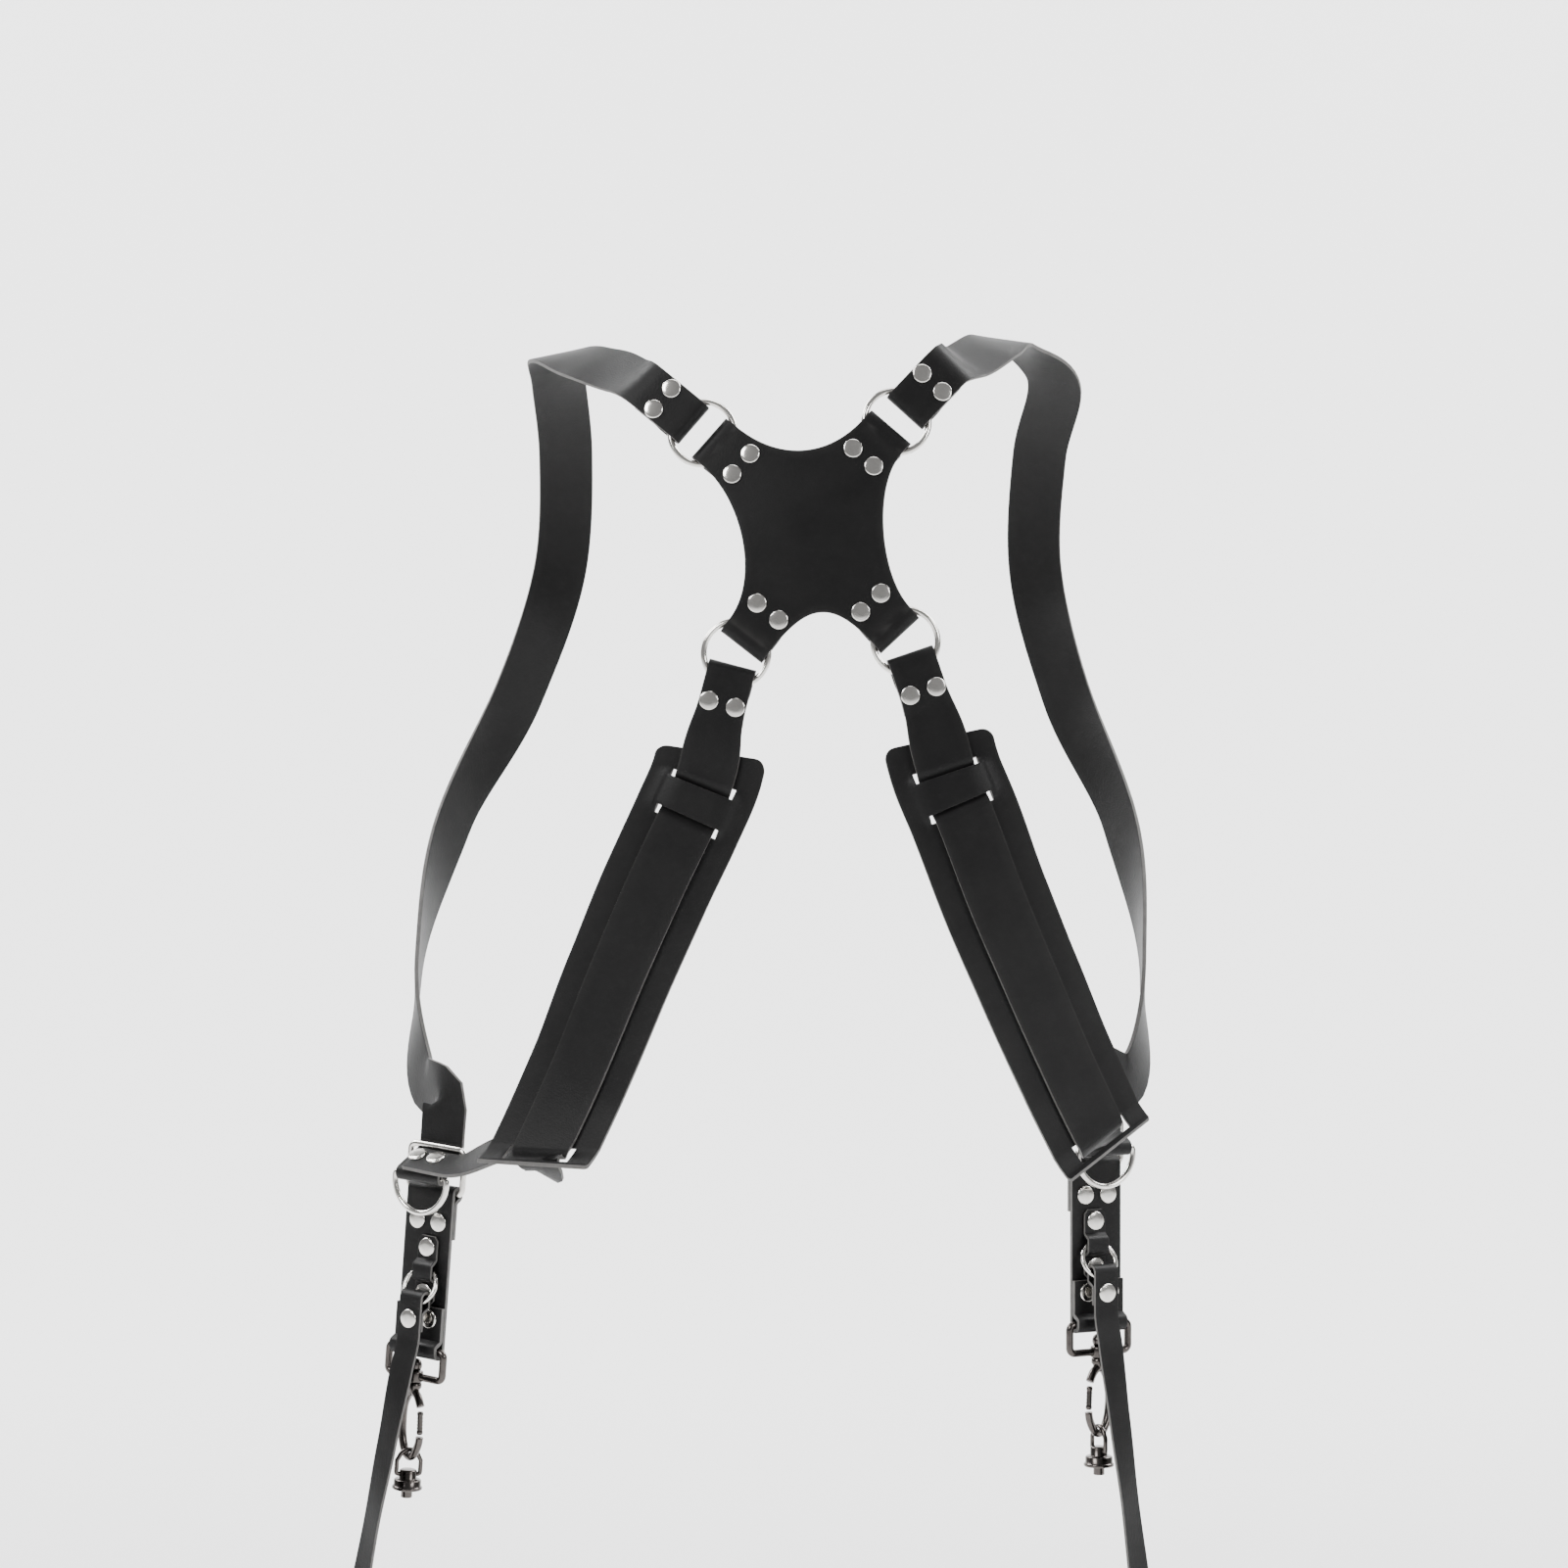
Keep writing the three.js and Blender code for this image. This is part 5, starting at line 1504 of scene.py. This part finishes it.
@dataclass
class Hanger:
    """One hip's rings, tab, keeper, leash, snap hook and camera screw."""

    bench: Bench
    shelf: Shelf
    wearer: Wearer
    ring_width: float = 35.5
    d_width: float = 34.0
    d_height: float = 20.0
    d_bend: float = 2.2
    ring_corner: float = 3.5
    leash_ring_radius: float = 9.75
    leash_ring_wire: float = 1.25
    leash_ring_tilt: float = 25.0
    bar_step: float = 3.0
    tab_width: float = 30.0
    tab_length: float = 82.75
    tab_rivet_drop: float = 15.4
    tab_upper_tail: float = 24.0
    tab_lower_tail: float = 22.8
    tab_lower_rise: float = 16.5
    tab_spacing: float = 14.0
    keeper_width: float = 12.5
    keeper_offset: float = 2.0
    keeper_drop: float = 29.0
    keeper_pitch: float = 24.0
    keeper_margin: float = 6.0
    keeper_easing: float = 3.6
    keeper_corner: float = 2.0
    shelf_spacing: float = 12.0
    shelf_rivet_run: float = 10.5
    leash_width: float = 14.0
    leash_tail: float = 17.0
    leash_drop: float = 170.0
    leash_clearance: float = 1.3
    leash_straight: float = 3.0
    leash_rivet_run: float = 10.5
    leash_rows: tuple[tuple[float, float, float, float], ...] = (
        (0.22, 0.0, 0.054, 0.0),
        (0.45, 0.009, 0.063, 12.0),
        (0.7, 0.022, 0.068, 22.0),
        (1.0, 0.042, 0.066, 12.0),
    )
    loop_width: float = 36.0
    loop_height: float = 15.0
    loop_wire: float = 2.0
    loop_corner: float = 3.0
    boss_radius: float = 4.5
    boss_height: float = 6.0
    boss_edge: Pairs = ((0.8, 0.0), (0.2, 0.3), (0.0, 0.9))
    bore_ease: float = 0.4
    swivel_radius: float = 2.0
    swivel_head: float = 3.6
    swivel_shares: Pairs = (
        (0.0, 1.75), (0.45, 1.66), (0.8, 1.36), (0.98, 0.9),
        (0.98, 0.5), (0.8, 1 / 60), (0.62, 0.0),
    )
    collar_radius: float = 4.0
    collar_height: float = 4.5
    collar_edge: Pairs = ((0.6, 0.0), (0.0, 0.5), (0.0, 2.6), (0.7, 3.4))
    collar_inset: float = 1.1
    collar_tip: float = 1.6
    hook_wire: float = 2.2
    hook_half: float = 9.0
    hook_height: float = 35.0
    hook_turn: float = 20.0
    hook_shares: Pairs = (
        (0.0, 0.0), (-0.5, -0.07), (-0.93, -0.25), (-1.0, -0.5), (-0.86, -0.76),
        (-0.45, -0.95), (0.0, -1.0), (0.45, -0.95), (0.86, -0.79), (0.98, -0.66),
    )
    lug_shares: Pairs = ((0.0, 0.0), (0.5, -0.07), (0.86, -0.2))
    gate_wire: float = 1.7
    gate_steps: int = 14
    gate_groove: float = 0.82
    gate_end: float = 0.7
    screw_wire: float = 1.2
    screw_half: float = 6.4
    screw_height: float = 13.0
    screw_turn: float = 70.0
    screw_crown: float = 0.42
    screw_hold: float = 2.0
    screw_corner: Pairs = ((0.9, 0.0), (0.2, 0.3), (0.0, 1.2))
    screw_sides: tuple[float, ...] = (0.62, 0.45)
    head_radius: float = 4.6
    head_height: float = 5.0
    base_radius: float = 8.0
    base_height: float = 5.5
    stud_radius: float = 3.1
    stud_length: float = 4.5
    stud_neck: float = 0.3
    thread_start: float = 0.5
    thread_run: float = 3.6
    thread_steps: int = 8
    thread_depth: float = 0.35
    base_edge: Pairs = ((0.5, 0.0), (0.0, 0.4), (0.0, 1.3), (0.3, 1.7), (0.8, 2.0))
    base_top: Pairs = ((0.8, 0.7), (1.1, 0.3), (1.6, 0.0))
    head_seat: float = 0.3
    head_edge: Pairs = ((0.0, 0.8), (0.3, 0.25), (0.9, 0.0))

    def __post_init__(self) -> None:
        """Works out the places that follow from the sizes."""
        self.side = self.shelf.hang.side
        self.label = self.side.label
        self.frame = self.shelf.frame
        self.middle = self.shelf.fold
        self.bar = self.shelf.ring_height / 2
        self.loop_fold = self.loop_wire + STOCK.gap + STOCK.thick / 2
        self.hook_frame = shifted(
            self.frame, 0.0, -self.bar - self.tab_length, self.middle + self.loop_fold
        )
        self.tab_top = self.middle + STOCK.thick / 2
        self.keeper_middle = self.tab_top + STOCK.gap + STOCK.leash_thick / 2
        tilt = math.radians(self.leash_ring_tilt)
        self.lean_down, self.lean_out = math.cos(tilt), math.sin(tilt)
        inner = self.leash_ring_radius - self.leash_ring_wire - STOCK.gap
        self.keeper_above = self.leash_ring_wire + STOCK.gap
        self.keeper_below = self.chord(self.keeper_width, inner) * self.lean_down
        self.ring_drop = self.keeper_drop + self.keeper_pitch - RIVET.radius
        self.ring_drop -= self.keeper_easing + self.keeper_below
        self.ring_top = Vector(
            (0.0, -self.bar - self.ring_drop, self.tab_top + STOCK.gap + self.leash_ring_wire)
        )

    def chord(self, width: float, radius: float) -> float:
        """How far below the leash ring's top a chord of a given width lies."""
        return self.leash_ring_radius - math.sqrt(radius**2 - (width / 2) ** 2)

    def tab_place(self, s: float, w: float, n: float) -> Vector:
        """A place of the tab in the harness."""
        return self.frame @ Vector((w, -self.bar - s, self.middle + n))

    def on_tab(self, s: float, w: float = 0.0) -> Matrix:
        """The frame of a place of the tab, with Z outwards."""
        return shifted(self.frame, w, -self.bar - s, self.middle)

    def rounded_loop(self, width: float, height: float, corner: float) -> list[Vector]:
        """A rectangle with round corners, along the middle of its wire."""
        x, y = width / 2 - corner, height / 2 - corner
        points: list[Vector] = []
        for cx, cy, start in ((x, y, 0), (-x, y, 90), (-x, -y, 180), (x, -y, 270)):
            points += arc(cx, cy, corner, start, start + 90, 8)
        dense: list[Vector] = []
        for a, b in zip(points, points[1:] + points[:1]):
            pieces = max(1, round((b - a).length / self.bar_step))
            dense += [a.lerp(b, k / pieces) for k in range(pieces)]
        return dense

    def rings(self) -> None:
        """Makes the hip ring, the D-ring and the leash ring."""
        loop = self.rounded_loop(self.ring_width, self.shelf.ring_height, self.ring_corner)
        mesh = self.bench.tube(loop, self.shelf.ring_wire, self.frame, sides=18)
        self.bench.metal(mesh, f"hip_ring_{self.label}", "wire")
        radius, bend = self.d_width / 2, self.d_bend
        drop = self.d_height - radius
        bar = [Vector((radius - 2.0 - x, 0.0, 0.0)) for x in spread(0, 2 * radius - 4, 12)]
        corner = arc(bend - radius, -bend, bend, 90, 160, 4)
        bow = arc(0, -drop, radius, 183, 357, 48)
        other = arc(radius - bend, -bend, bend, 20, 80, 4)
        middle = self.shelf.place(0, self.shelf.run, -self.shelf.d_fold)
        where = self.frame @ Matrix.Translation(middle)
        mesh = self.bench.tube(bar + corner + bow + other, self.shelf.d_wire, where, sides=18)
        node = f"d_ring_{self.label}"
        self.bench.metal(mesh, node, "wire", body=node)
        middle = self.ring_top.copy()
        middle.x = -self.side.value * self.keeper_offset
        middle.y -= self.leash_ring_radius * self.lean_down
        middle.z += self.leash_ring_radius * self.lean_out
        tilt = Matrix.Rotation(math.radians(-self.leash_ring_tilt), 4, "X")
        where = self.frame @ Matrix.Translation(middle) @ tilt
        circle = arc(0, 0, self.leash_ring_radius, 0, 360, 64)[:-1]
        mesh = self.bench.tube(circle, self.leash_ring_wire, where, sides=16)
        self.bench.metal(mesh, f"leash_ring_{self.label}", "wire")

    def tab(self) -> None:
        """Makes the hanging tab with its rivets."""
        pen = folded_start(0.0, self.shelf.fold, self.shelf.ring_wire, self.tab_upper_tail)
        pen.run(self.tab_length, 20)
        pen.fold(self.loop_fold, self.loop_wire, self.tab_lower_tail, 1, STOCK.layer)
        half = self.tab_width / 2
        mesh = strip(self.bench, pen.points, lambda s: half, self.tab_place)
        self.bench.leather(mesh, f"hip_tab_{self.label}")
        where = self.on_tab(self.tab_rivet_drop)
        rivet_pair(self.bench, f"rivet_tab_top_{self.label}", where, self.tab_spacing)
        low = self.tab_length - self.tab_lower_rise
        outer = self.side.value * self.tab_spacing / 2
        node = f"rivet_tab_bottom_{self.label}"
        top, bottom = STOCK.layer + STOCK.thick / 2, -STOCK.thick / 2
        mesh = RIVET.mesh(self.bench, self.on_tab(low, outer), top, bottom)
        self.bench.metal(mesh, node, "cap")
        mesh = RIVET.mesh(self.bench, self.on_tab(low, -outer), top, bottom)
        self.bench.finish(mesh, f"{node}_second_cap", Slot.NICKEL, "root")
        top = self.keeper_middle - self.middle + STOCK.leash_thick / 2
        for word, drop in (("upper", 0.0), ("lower", self.keeper_pitch)):
            where = self.on_tab(self.keeper_drop + drop, -self.side.value * self.keeper_offset)
            mesh = RIVET.mesh(self.bench, where, top, bottom)
            self.bench.metal(mesh, f"rivet_keeper_{word}_{self.label}", "cap")

    def keeper(self) -> None:
        """Makes the narrow strip over the leash ring."""
        bump = 2 * self.leash_ring_wire + STOCK.gap
        bump += self.chord(self.keeper_width, self.leash_ring_radius) * self.lean_out
        crest = self.keeper_above + self.keeper_below
        pen = Pen(self.keeper_drop - self.keeper_margin, 0.0, 0.0)
        pen.run(self.ring_drop - self.keeper_above - self.keeper_easing - pen.points[-1][0], 5)
        pen.ease(self.keeper_easing, bump).run(crest, 2).ease(self.keeper_easing, -bump)
        pen.run(self.keeper_drop + self.keeper_pitch + self.keeper_margin - pen.points[-1][0], 5)
        lift = self.keeper_middle - self.middle

        def place(s: float, w: float, n: float) -> Vector:
            """A place of the keeper."""
            return self.tab_place(s, w - self.side.value * self.keeper_offset, n + lift)

        first, last = pen.points[0][0], pen.points[-1][0]

        def half(s: float) -> float:
            """Half of its width, with softly rounded ends."""
            corner = self.keeper_corner
            inset = max(corner - min(s - first, last - s), 0.0)
            rounded = math.sqrt(max(corner**2 - inset * inset, 0.0))
            return self.keeper_width / 2 - corner + rounded

        mesh = strip(self.bench, pen.points, half, place)
        self.bench.leather(mesh, f"keeper_{self.label}", STOCK.leash_thick)

    def leash(self) -> None:
        """Makes the leash that hangs from its ring."""
        fold = self.leash_ring_wire + self.leash_clearance + STOCK.leash_thick / 2
        bow = self.chord(self.leash_width, self.leash_ring_radius)
        reach = 2 * self.leash_ring_radius - bow
        start = -self.side.value * self.keeper_offset
        top = Vector(
            (
                start,
                self.ring_top.y - reach * self.lean_down + STOCK.gap,
                self.ring_top.z + (reach + bow / 2) * self.lean_out + fold,
            )
        )
        cavity = bow * self.lean_down + self.leash_ring_wire + 2 * STOCK.gap
        straight = self.leash_tail + self.leash_straight
        points = [top, top - Vector((0.0, straight, 0.0))]
        normals = [UP.copy(), UP.copy()]
        for down, sway, out, twist in self.leash_rows:
            x = start + self.side.value * sway * self.wearer.chest_width
            y = top.y - down * self.leash_drop
            points.append(Vector((x, y, out * self.wearer.chest_width)))
            angle = math.radians(self.side.value * twist)
            normals.append(Vector((math.sin(angle), 0.0, math.cos(angle))))
        route = Route(points, normals)
        layer = STOCK.leash_thick + STOCK.gap
        pen = folded_start(0.0, fold, cavity, self.leash_tail, layer)
        width = self.leash_width
        pen.run(straight, 5).run(route.length - straight - width / 2, 44)
        pen.run(0.3 * width, 6).run(0.2 * width, 6)

        def half(s: float) -> float:
            """Half of its width, rounded at its end."""
            inset = max(s - route.length + width / 2, 0.0)
            return max(math.sqrt(max((width / 2) ** 2 - inset**2, 0.0)), width / 5)

        def place(s: float, w: float, n: float) -> Vector:
            """A place of the leash in the harness."""
            return self.frame @ route.place(s, w, n)

        mesh = strip(self.bench, pen.points, half, place)
        self.bench.leather(mesh, f"leash_{self.label}", STOCK.leash_thick)
        where = self.frame @ route.frame_at(self.leash_rivet_run)
        half_stack = STOCK.leash_thick / 2
        mesh = RIVET.mesh(self.bench, where, half_stack, -layer - half_stack)
        self.bench.finish(mesh, f"rivet_leash_{self.label}", Slot.NICKEL, "root")

    def shelf_rivets(self) -> None:
        """Makes the rivets through the D-ring's fold and the side strap's end."""
        turn = self.frame.to_3x3()
        out = turn @ (self.shelf.place(0, 0, 1) - self.shelf.place(0, 0, 0))
        across = turn @ Vector((1.0, 0.0, 0.0))
        top = STOCK.layer + STOCK.thick / 2
        for way, sign in (("a", -1), ("b", 1)):
            place = (sign * self.shelf_spacing / 2, self.shelf_rivet_run, 0.0)
            middle = self.frame @ self.shelf.place(*place)
            where = basis(across, out.cross(across), out, middle)
            mesh = RIVET.mesh(self.bench, where, top, STOCK.pair[1])
            self.bench.finish(mesh, f"rivet_shelf_{self.label}_{way}", Slot.NICKEL, "root")

    @staticmethod
    def upright(where: Matrix) -> Matrix:
        """A frame whose Z is the other's Y, for turned pieces."""
        return where @ Matrix.Rotation(math.radians(-90.0), 4, "X")

    def loop(self) -> None:
        """Makes the snap hook's loop and boss."""
        body = f"loop_{self.label}"
        outline = self.rounded_loop(self.loop_width, self.loop_height, self.loop_corner)
        where = shifted(self.hook_frame, 0.0, -self.loop_height / 2, 0.0)
        mesh = self.bench.tube(outline, self.loop_wire, where, sides=18)
        bore, ease = self.swivel_radius + STOCK.gap, self.bore_ease
        r, h = self.boss_radius, self.boss_height / 2
        boss = [(bore, h - ease), (bore + ease, h)]
        boss += [(r - inset, h - drop) for inset, drop in self.boss_edge]
        boss += [(radius, -height) for radius, height in boss[::-1]] + [boss[0]]
        where = self.upright(shifted(self.hook_frame, 0.0, -self.loop_height, 0.0))
        mesh = self.bench.spun(boss, where, 32, mesh)
        self.bench.metal(mesh, f"snap_loop_{self.label}", "metal", Slot.GUNMETAL, body)

    def hook(self) -> None:
        """Makes the swivelling hook, its gate, and the camera screw in its ring."""
        turn = math.radians(self.side.value * self.hook_turn)
        if self.side is Side.RIGHT:
            turn += math.pi
        swivel = self.hook_frame @ Matrix.Rotation(turn, 4, "Y")
        boss = -self.loop_height
        head = boss + self.boss_height / 2 + STOCK.gap
        collar = boss - self.boss_height / 2 - STOCK.gap
        top = collar - self.collar_height
        r, c = self.swivel_head, self.collar_radius
        ball = [(share * r, head + rise * r) for share, rise in self.swivel_shares]
        ball += [(self.swivel_radius, head), (self.swivel_radius, collar)]
        ball += [(c - inset, collar - drop) for inset, drop in self.collar_edge]
        ball += [(c - self.collar_inset, top - 0.6), (0.0, top - self.collar_tip)]
        mesh = self.bench.spun(ball, self.upright(swivel), 36)

        def at(x: float, y: float) -> Vector:
            """A place of the hook from shares of its half width and its height."""
            return Vector((x * self.hook_half, top + y * self.hook_height, 0.0))

        spine = self.eased([at(*share) for share in self.hook_shares], 5)
        lug = self.eased([at(*share) for share in self.lug_shares], 6)
        count = len(spine)
        radii = [self.hook_wire * (1.12 - 0.2 * i / count) for i in range(count)]
        mesh = self.bench.tube(spine, radii, swivel, False, 16, mesh)
        mesh = self.bench.tube(lug, self.hook_wire, swivel, False, 16, mesh)
        body = f"hook_{self.label}"
        self.bench.metal(mesh, body, "metal", Slot.GUNMETAL, body)
        first, nose = at(*self.lug_shares[-1]), at(*self.hook_shares[-1])
        along = (nose - first).normalized()
        first = first + along * (self.hook_wire + STOCK.gap)
        nose = nose - along * (0.5 * self.hook_wire + STOCK.gap)
        steps = self.gate_steps
        bar = [first.lerp(nose, k / steps) for k in range(steps + 1)]
        wire, groove = self.gate_wire, self.gate_wire * self.gate_groove
        radii = [groove if 3 <= k <= steps - 3 and k % 2 else wire for k in range(steps + 1)]
        radii[0] = radii[-1] = self.gate_end * wire
        mesh = self.bench.tube(bar, radii, swivel, False, 16)
        node = f"gate_{self.label}"
        self.bench.metal(mesh, node, "metal", Slot.GUNMETAL, node)
        self.screw(swivel, top)

    @staticmethod
    def eased(points: Sequence[Vector], steps: int) -> list[Vector]:
        """A smooth line through points.

        Args:
            points: The points.
            steps: Steps between each pair.

        Returns:
            The denser line.
        """
        last = len(points) - 1
        line: list[Vector] = []
        for i in range(last):
            before = points[max(i - 1, 0)]
            a, b = points[i], points[i + 1]
            after = points[min(i + 2, last)]
            for k in range(steps):
                u = k / steps
                start, end = (b - before) * 0.5, (after - a) * 0.5
                point = a * ((1 + 2 * u) * (1 - u) ** 2) + b * (u * u * (3 - 2 * u))
                line.append(point + start * (u * (1 - u) ** 2) + end * (u * u * (u - 1)))
        return [*line, points[-1]]

    def screw(self, swivel: Matrix, top: float) -> None:
        """Makes the camera screw and the wire ring that it hangs in.

        Args:
            swivel: The hook's frame.
            top: The hook's top in it.
        """
        w, h = self.screw_half, self.screw_height
        ring_top = top - self.hook_height + self.hook_wire + STOCK.gap + self.screw_wire
        where = shifted(swivel, 0.0, ring_top, 0.0) @ Matrix.Rotation(
            math.radians(self.screw_turn), 4, "Y"
        )
        crown = self.screw_crown * h
        arch = arc(0, -crown, crown, 20, 160, 16)
        places = [(self.head_radius - self.screw_hold, -h)]
        places += [(w - inset, rise - h) for inset, rise in self.screw_corner]
        places += [(w, -share * h) for share in self.screw_sides]
        outline = [Vector((x, y, 0.0)) for x, y in places]
        mirrored = [Vector((-p.x, p.y, 0.0)) for p in outline[::-1]]
        mesh = self.bench.tube(outline + arch + mirrored, self.screw_wire, where, False, 14)
        body, node = f"hook_{self.label}", f"screw_ring_{self.label}"
        self.bench.metal(mesh, node, "metal", Slot.GUNMETAL, body)
        rise = self.head_height / 2
        base = -rise - self.base_height
        b, stud = self.base_radius, self.stud_radius
        low = base - self.stud_length
        profile = [(0.0, low), (stud - self.thread_start, low)]
        for k in range(self.thread_steps + 1):
            height = low + self.thread_start + self.thread_run * k / self.thread_steps
            profile.append((stud - self.thread_depth if k % 2 else stud, height))
        profile.append((stud - self.stud_neck, base))
        profile += [(b - inset, base + lift) for inset, lift in self.base_edge]
        profile += [(b - inset, -rise - drop) for inset, drop in self.base_top]
        head = self.head_radius
        profile += [(head + self.head_seat, -rise), (head, self.head_seat - rise)]
        profile += [(head - inset, rise - drop) for inset, drop in self.head_edge]
        profile.append((0.0, rise))
        pivot = shifted(where, 0.0, -h, 0.0)
        mesh = self.bench.spun(profile, self.upright(pivot), 48)
        body, node = f"screw_{self.label}", f"camera_screw_{self.label}"
        self.bench.metal(mesh, node, "metal", Slot.GUNMETAL, body)

    def build(self) -> None:
        """Makes this hip's pieces."""
        self.rings()
        self.tab()
        self.keeper()
        self.leash()
        self.shelf_rivets()
        self.loop()
        self.hook()


# The studio


@dataclass
class Studio:
    """A plain pale floor, soft light and the camera at the photograph's angle."""

    camera_at: Triple = (-0.01275, -2.118, -0.2374)
    pixel: float = 0.00025
    sensor: float = 36.0
    floor_at: float = -0.74
    floor_size: float = 14.0
    floor_front: float = -8.0
    sweep_radius: float = 1.6
    sweep_height: float = 6.0
    white: Triple = (0.9, 0.9, 0.9)
    sky: Triple = (0.93, 0.935, 0.94)
    sky_strength: float = 0.3
    subject: Triple = (0.0, 0.0, -0.28)

    def camera(self) -> None:
        """Sets the camera level, looking along +Y."""
        data = bpy.data.cameras.new("camera")
        data.sensor_width = self.sensor
        data.lens = self.sensor / (self.pixel * PHOTO_PIXELS)
        data.clip_end = 200.0
        camera = bpy.data.objects.new("camera", data)
        camera.location = self.camera_at
        camera.rotation_euler = (math.radians(90.0), 0.0, 0.0)
        bpy.context.scene.collection.objects.link(camera)
        bpy.context.scene.camera = camera

    def floor(self) -> None:
        """Lays the floor, which sweeps up softly far behind the harness."""
        bend = self.sweep_radius
        line = [Vector((0.0, self.floor_front, 0.0)), Vector((0.0, bend, 0.0))]
        line += [Vector((0.0, bend + p.x, bend + p.y)) for p in arc(0, 0, bend, -84, -6, 13)]
        line += [Vector((0.0, 2 * bend, bend)), Vector((0.0, 2 * bend, self.sweep_height))]
        mesh = bmesh.new()
        corner = Vector((-self.floor_size / 2, 0.0, self.floor_at))
        verts = [mesh.verts.new(p + corner) for p in line]
        edges = [mesh.edges.new(pair) for pair in zip(verts, verts[1:])]
        made = bmesh.ops.extrude_edge_only(mesh, edges=edges)
        moved = [v for v in made["geom"] if isinstance(v, bmesh.types.BMVert)]
        bmesh.ops.translate(mesh, verts=moved, vec=(self.floor_size, 0.0, 0.0))
        bmesh.ops.recalc_face_normals(mesh, faces=mesh.faces)
        for face in mesh.faces:
            face.smooth = True
        data = bpy.data.meshes.new("floor")
        mesh.to_mesh(data)
        mesh.free()
        floor = bpy.data.objects.new("floor", data)
        bpy.context.scene.collection.objects.link(floor)
        paint = Paint("pale_floor")
        paint.feed(paint.shader, {"Base Color": (*self.white, 1.0), "Roughness": 0.9})
        data.materials.append(paint.material)

    @staticmethod
    def light(name: str, at: Triple, size: float, power: float, aim: Triple) -> None:
        """Adds a soft square light.

        Args:
            name: The light's name.
            at: Its place.
            size: Its side, in metres.
            power: Its power, in watts.
            aim: What it points at.
        """
        data = bpy.data.lights.new(name, "AREA")
        data.size = size
        data.energy = power
        lamp = bpy.data.objects.new(name, data)
        lamp.location = at
        way = Vector(aim) - Vector(at)
        lamp.rotation_euler = way.to_track_quat("-Z", "Y").to_euler()
        bpy.context.scene.collection.objects.link(lamp)

    def build(self) -> None:
        """Makes the studio."""
        self.camera()
        self.floor()
        world = bpy.data.worlds.new("studio")
        world.use_nodes = True
        background = world.node_tree.nodes["Background"]
        background.inputs["Color"].default_value = (*self.sky, 1.0)
        background.inputs["Strength"].default_value = self.sky_strength
        bpy.context.scene.world = world
        self.light("key", (-1.9, -2.4, 1.5), 1.3, 85.0, self.subject)
        self.light("fill", (2.3, -2.1, 0.7), 1.1, 45.0, self.subject)
        self.light("top", (0.3, 0.3, 2.2), 1.6, 45.0, self.subject)
        for name, side in (("sweep_left", -1), ("sweep_right", 1)):
            self.light(name, (side * 1.9, 0.9, 1.6), 1.6, 165.0, (-side * 0.4, 3.2, -0.2))


def main() -> None:
    """Builds every piece in order."""
    logging.basicConfig(level=logging.INFO, format="%(name)s: %(message)s")
    Studio().build()
    bench = Bench(Finishes())
    wearer = Wearer()
    plate = BackPlate(bench, wearer)
    plate.build()
    for hang in HANGS:
        shelf = Shelf(wearer, hang)
        Straps(bench, wearer, plate, shelf).build()
        Hanger(bench, shelf, wearer).build()


if __name__ == "__main__":
    main()
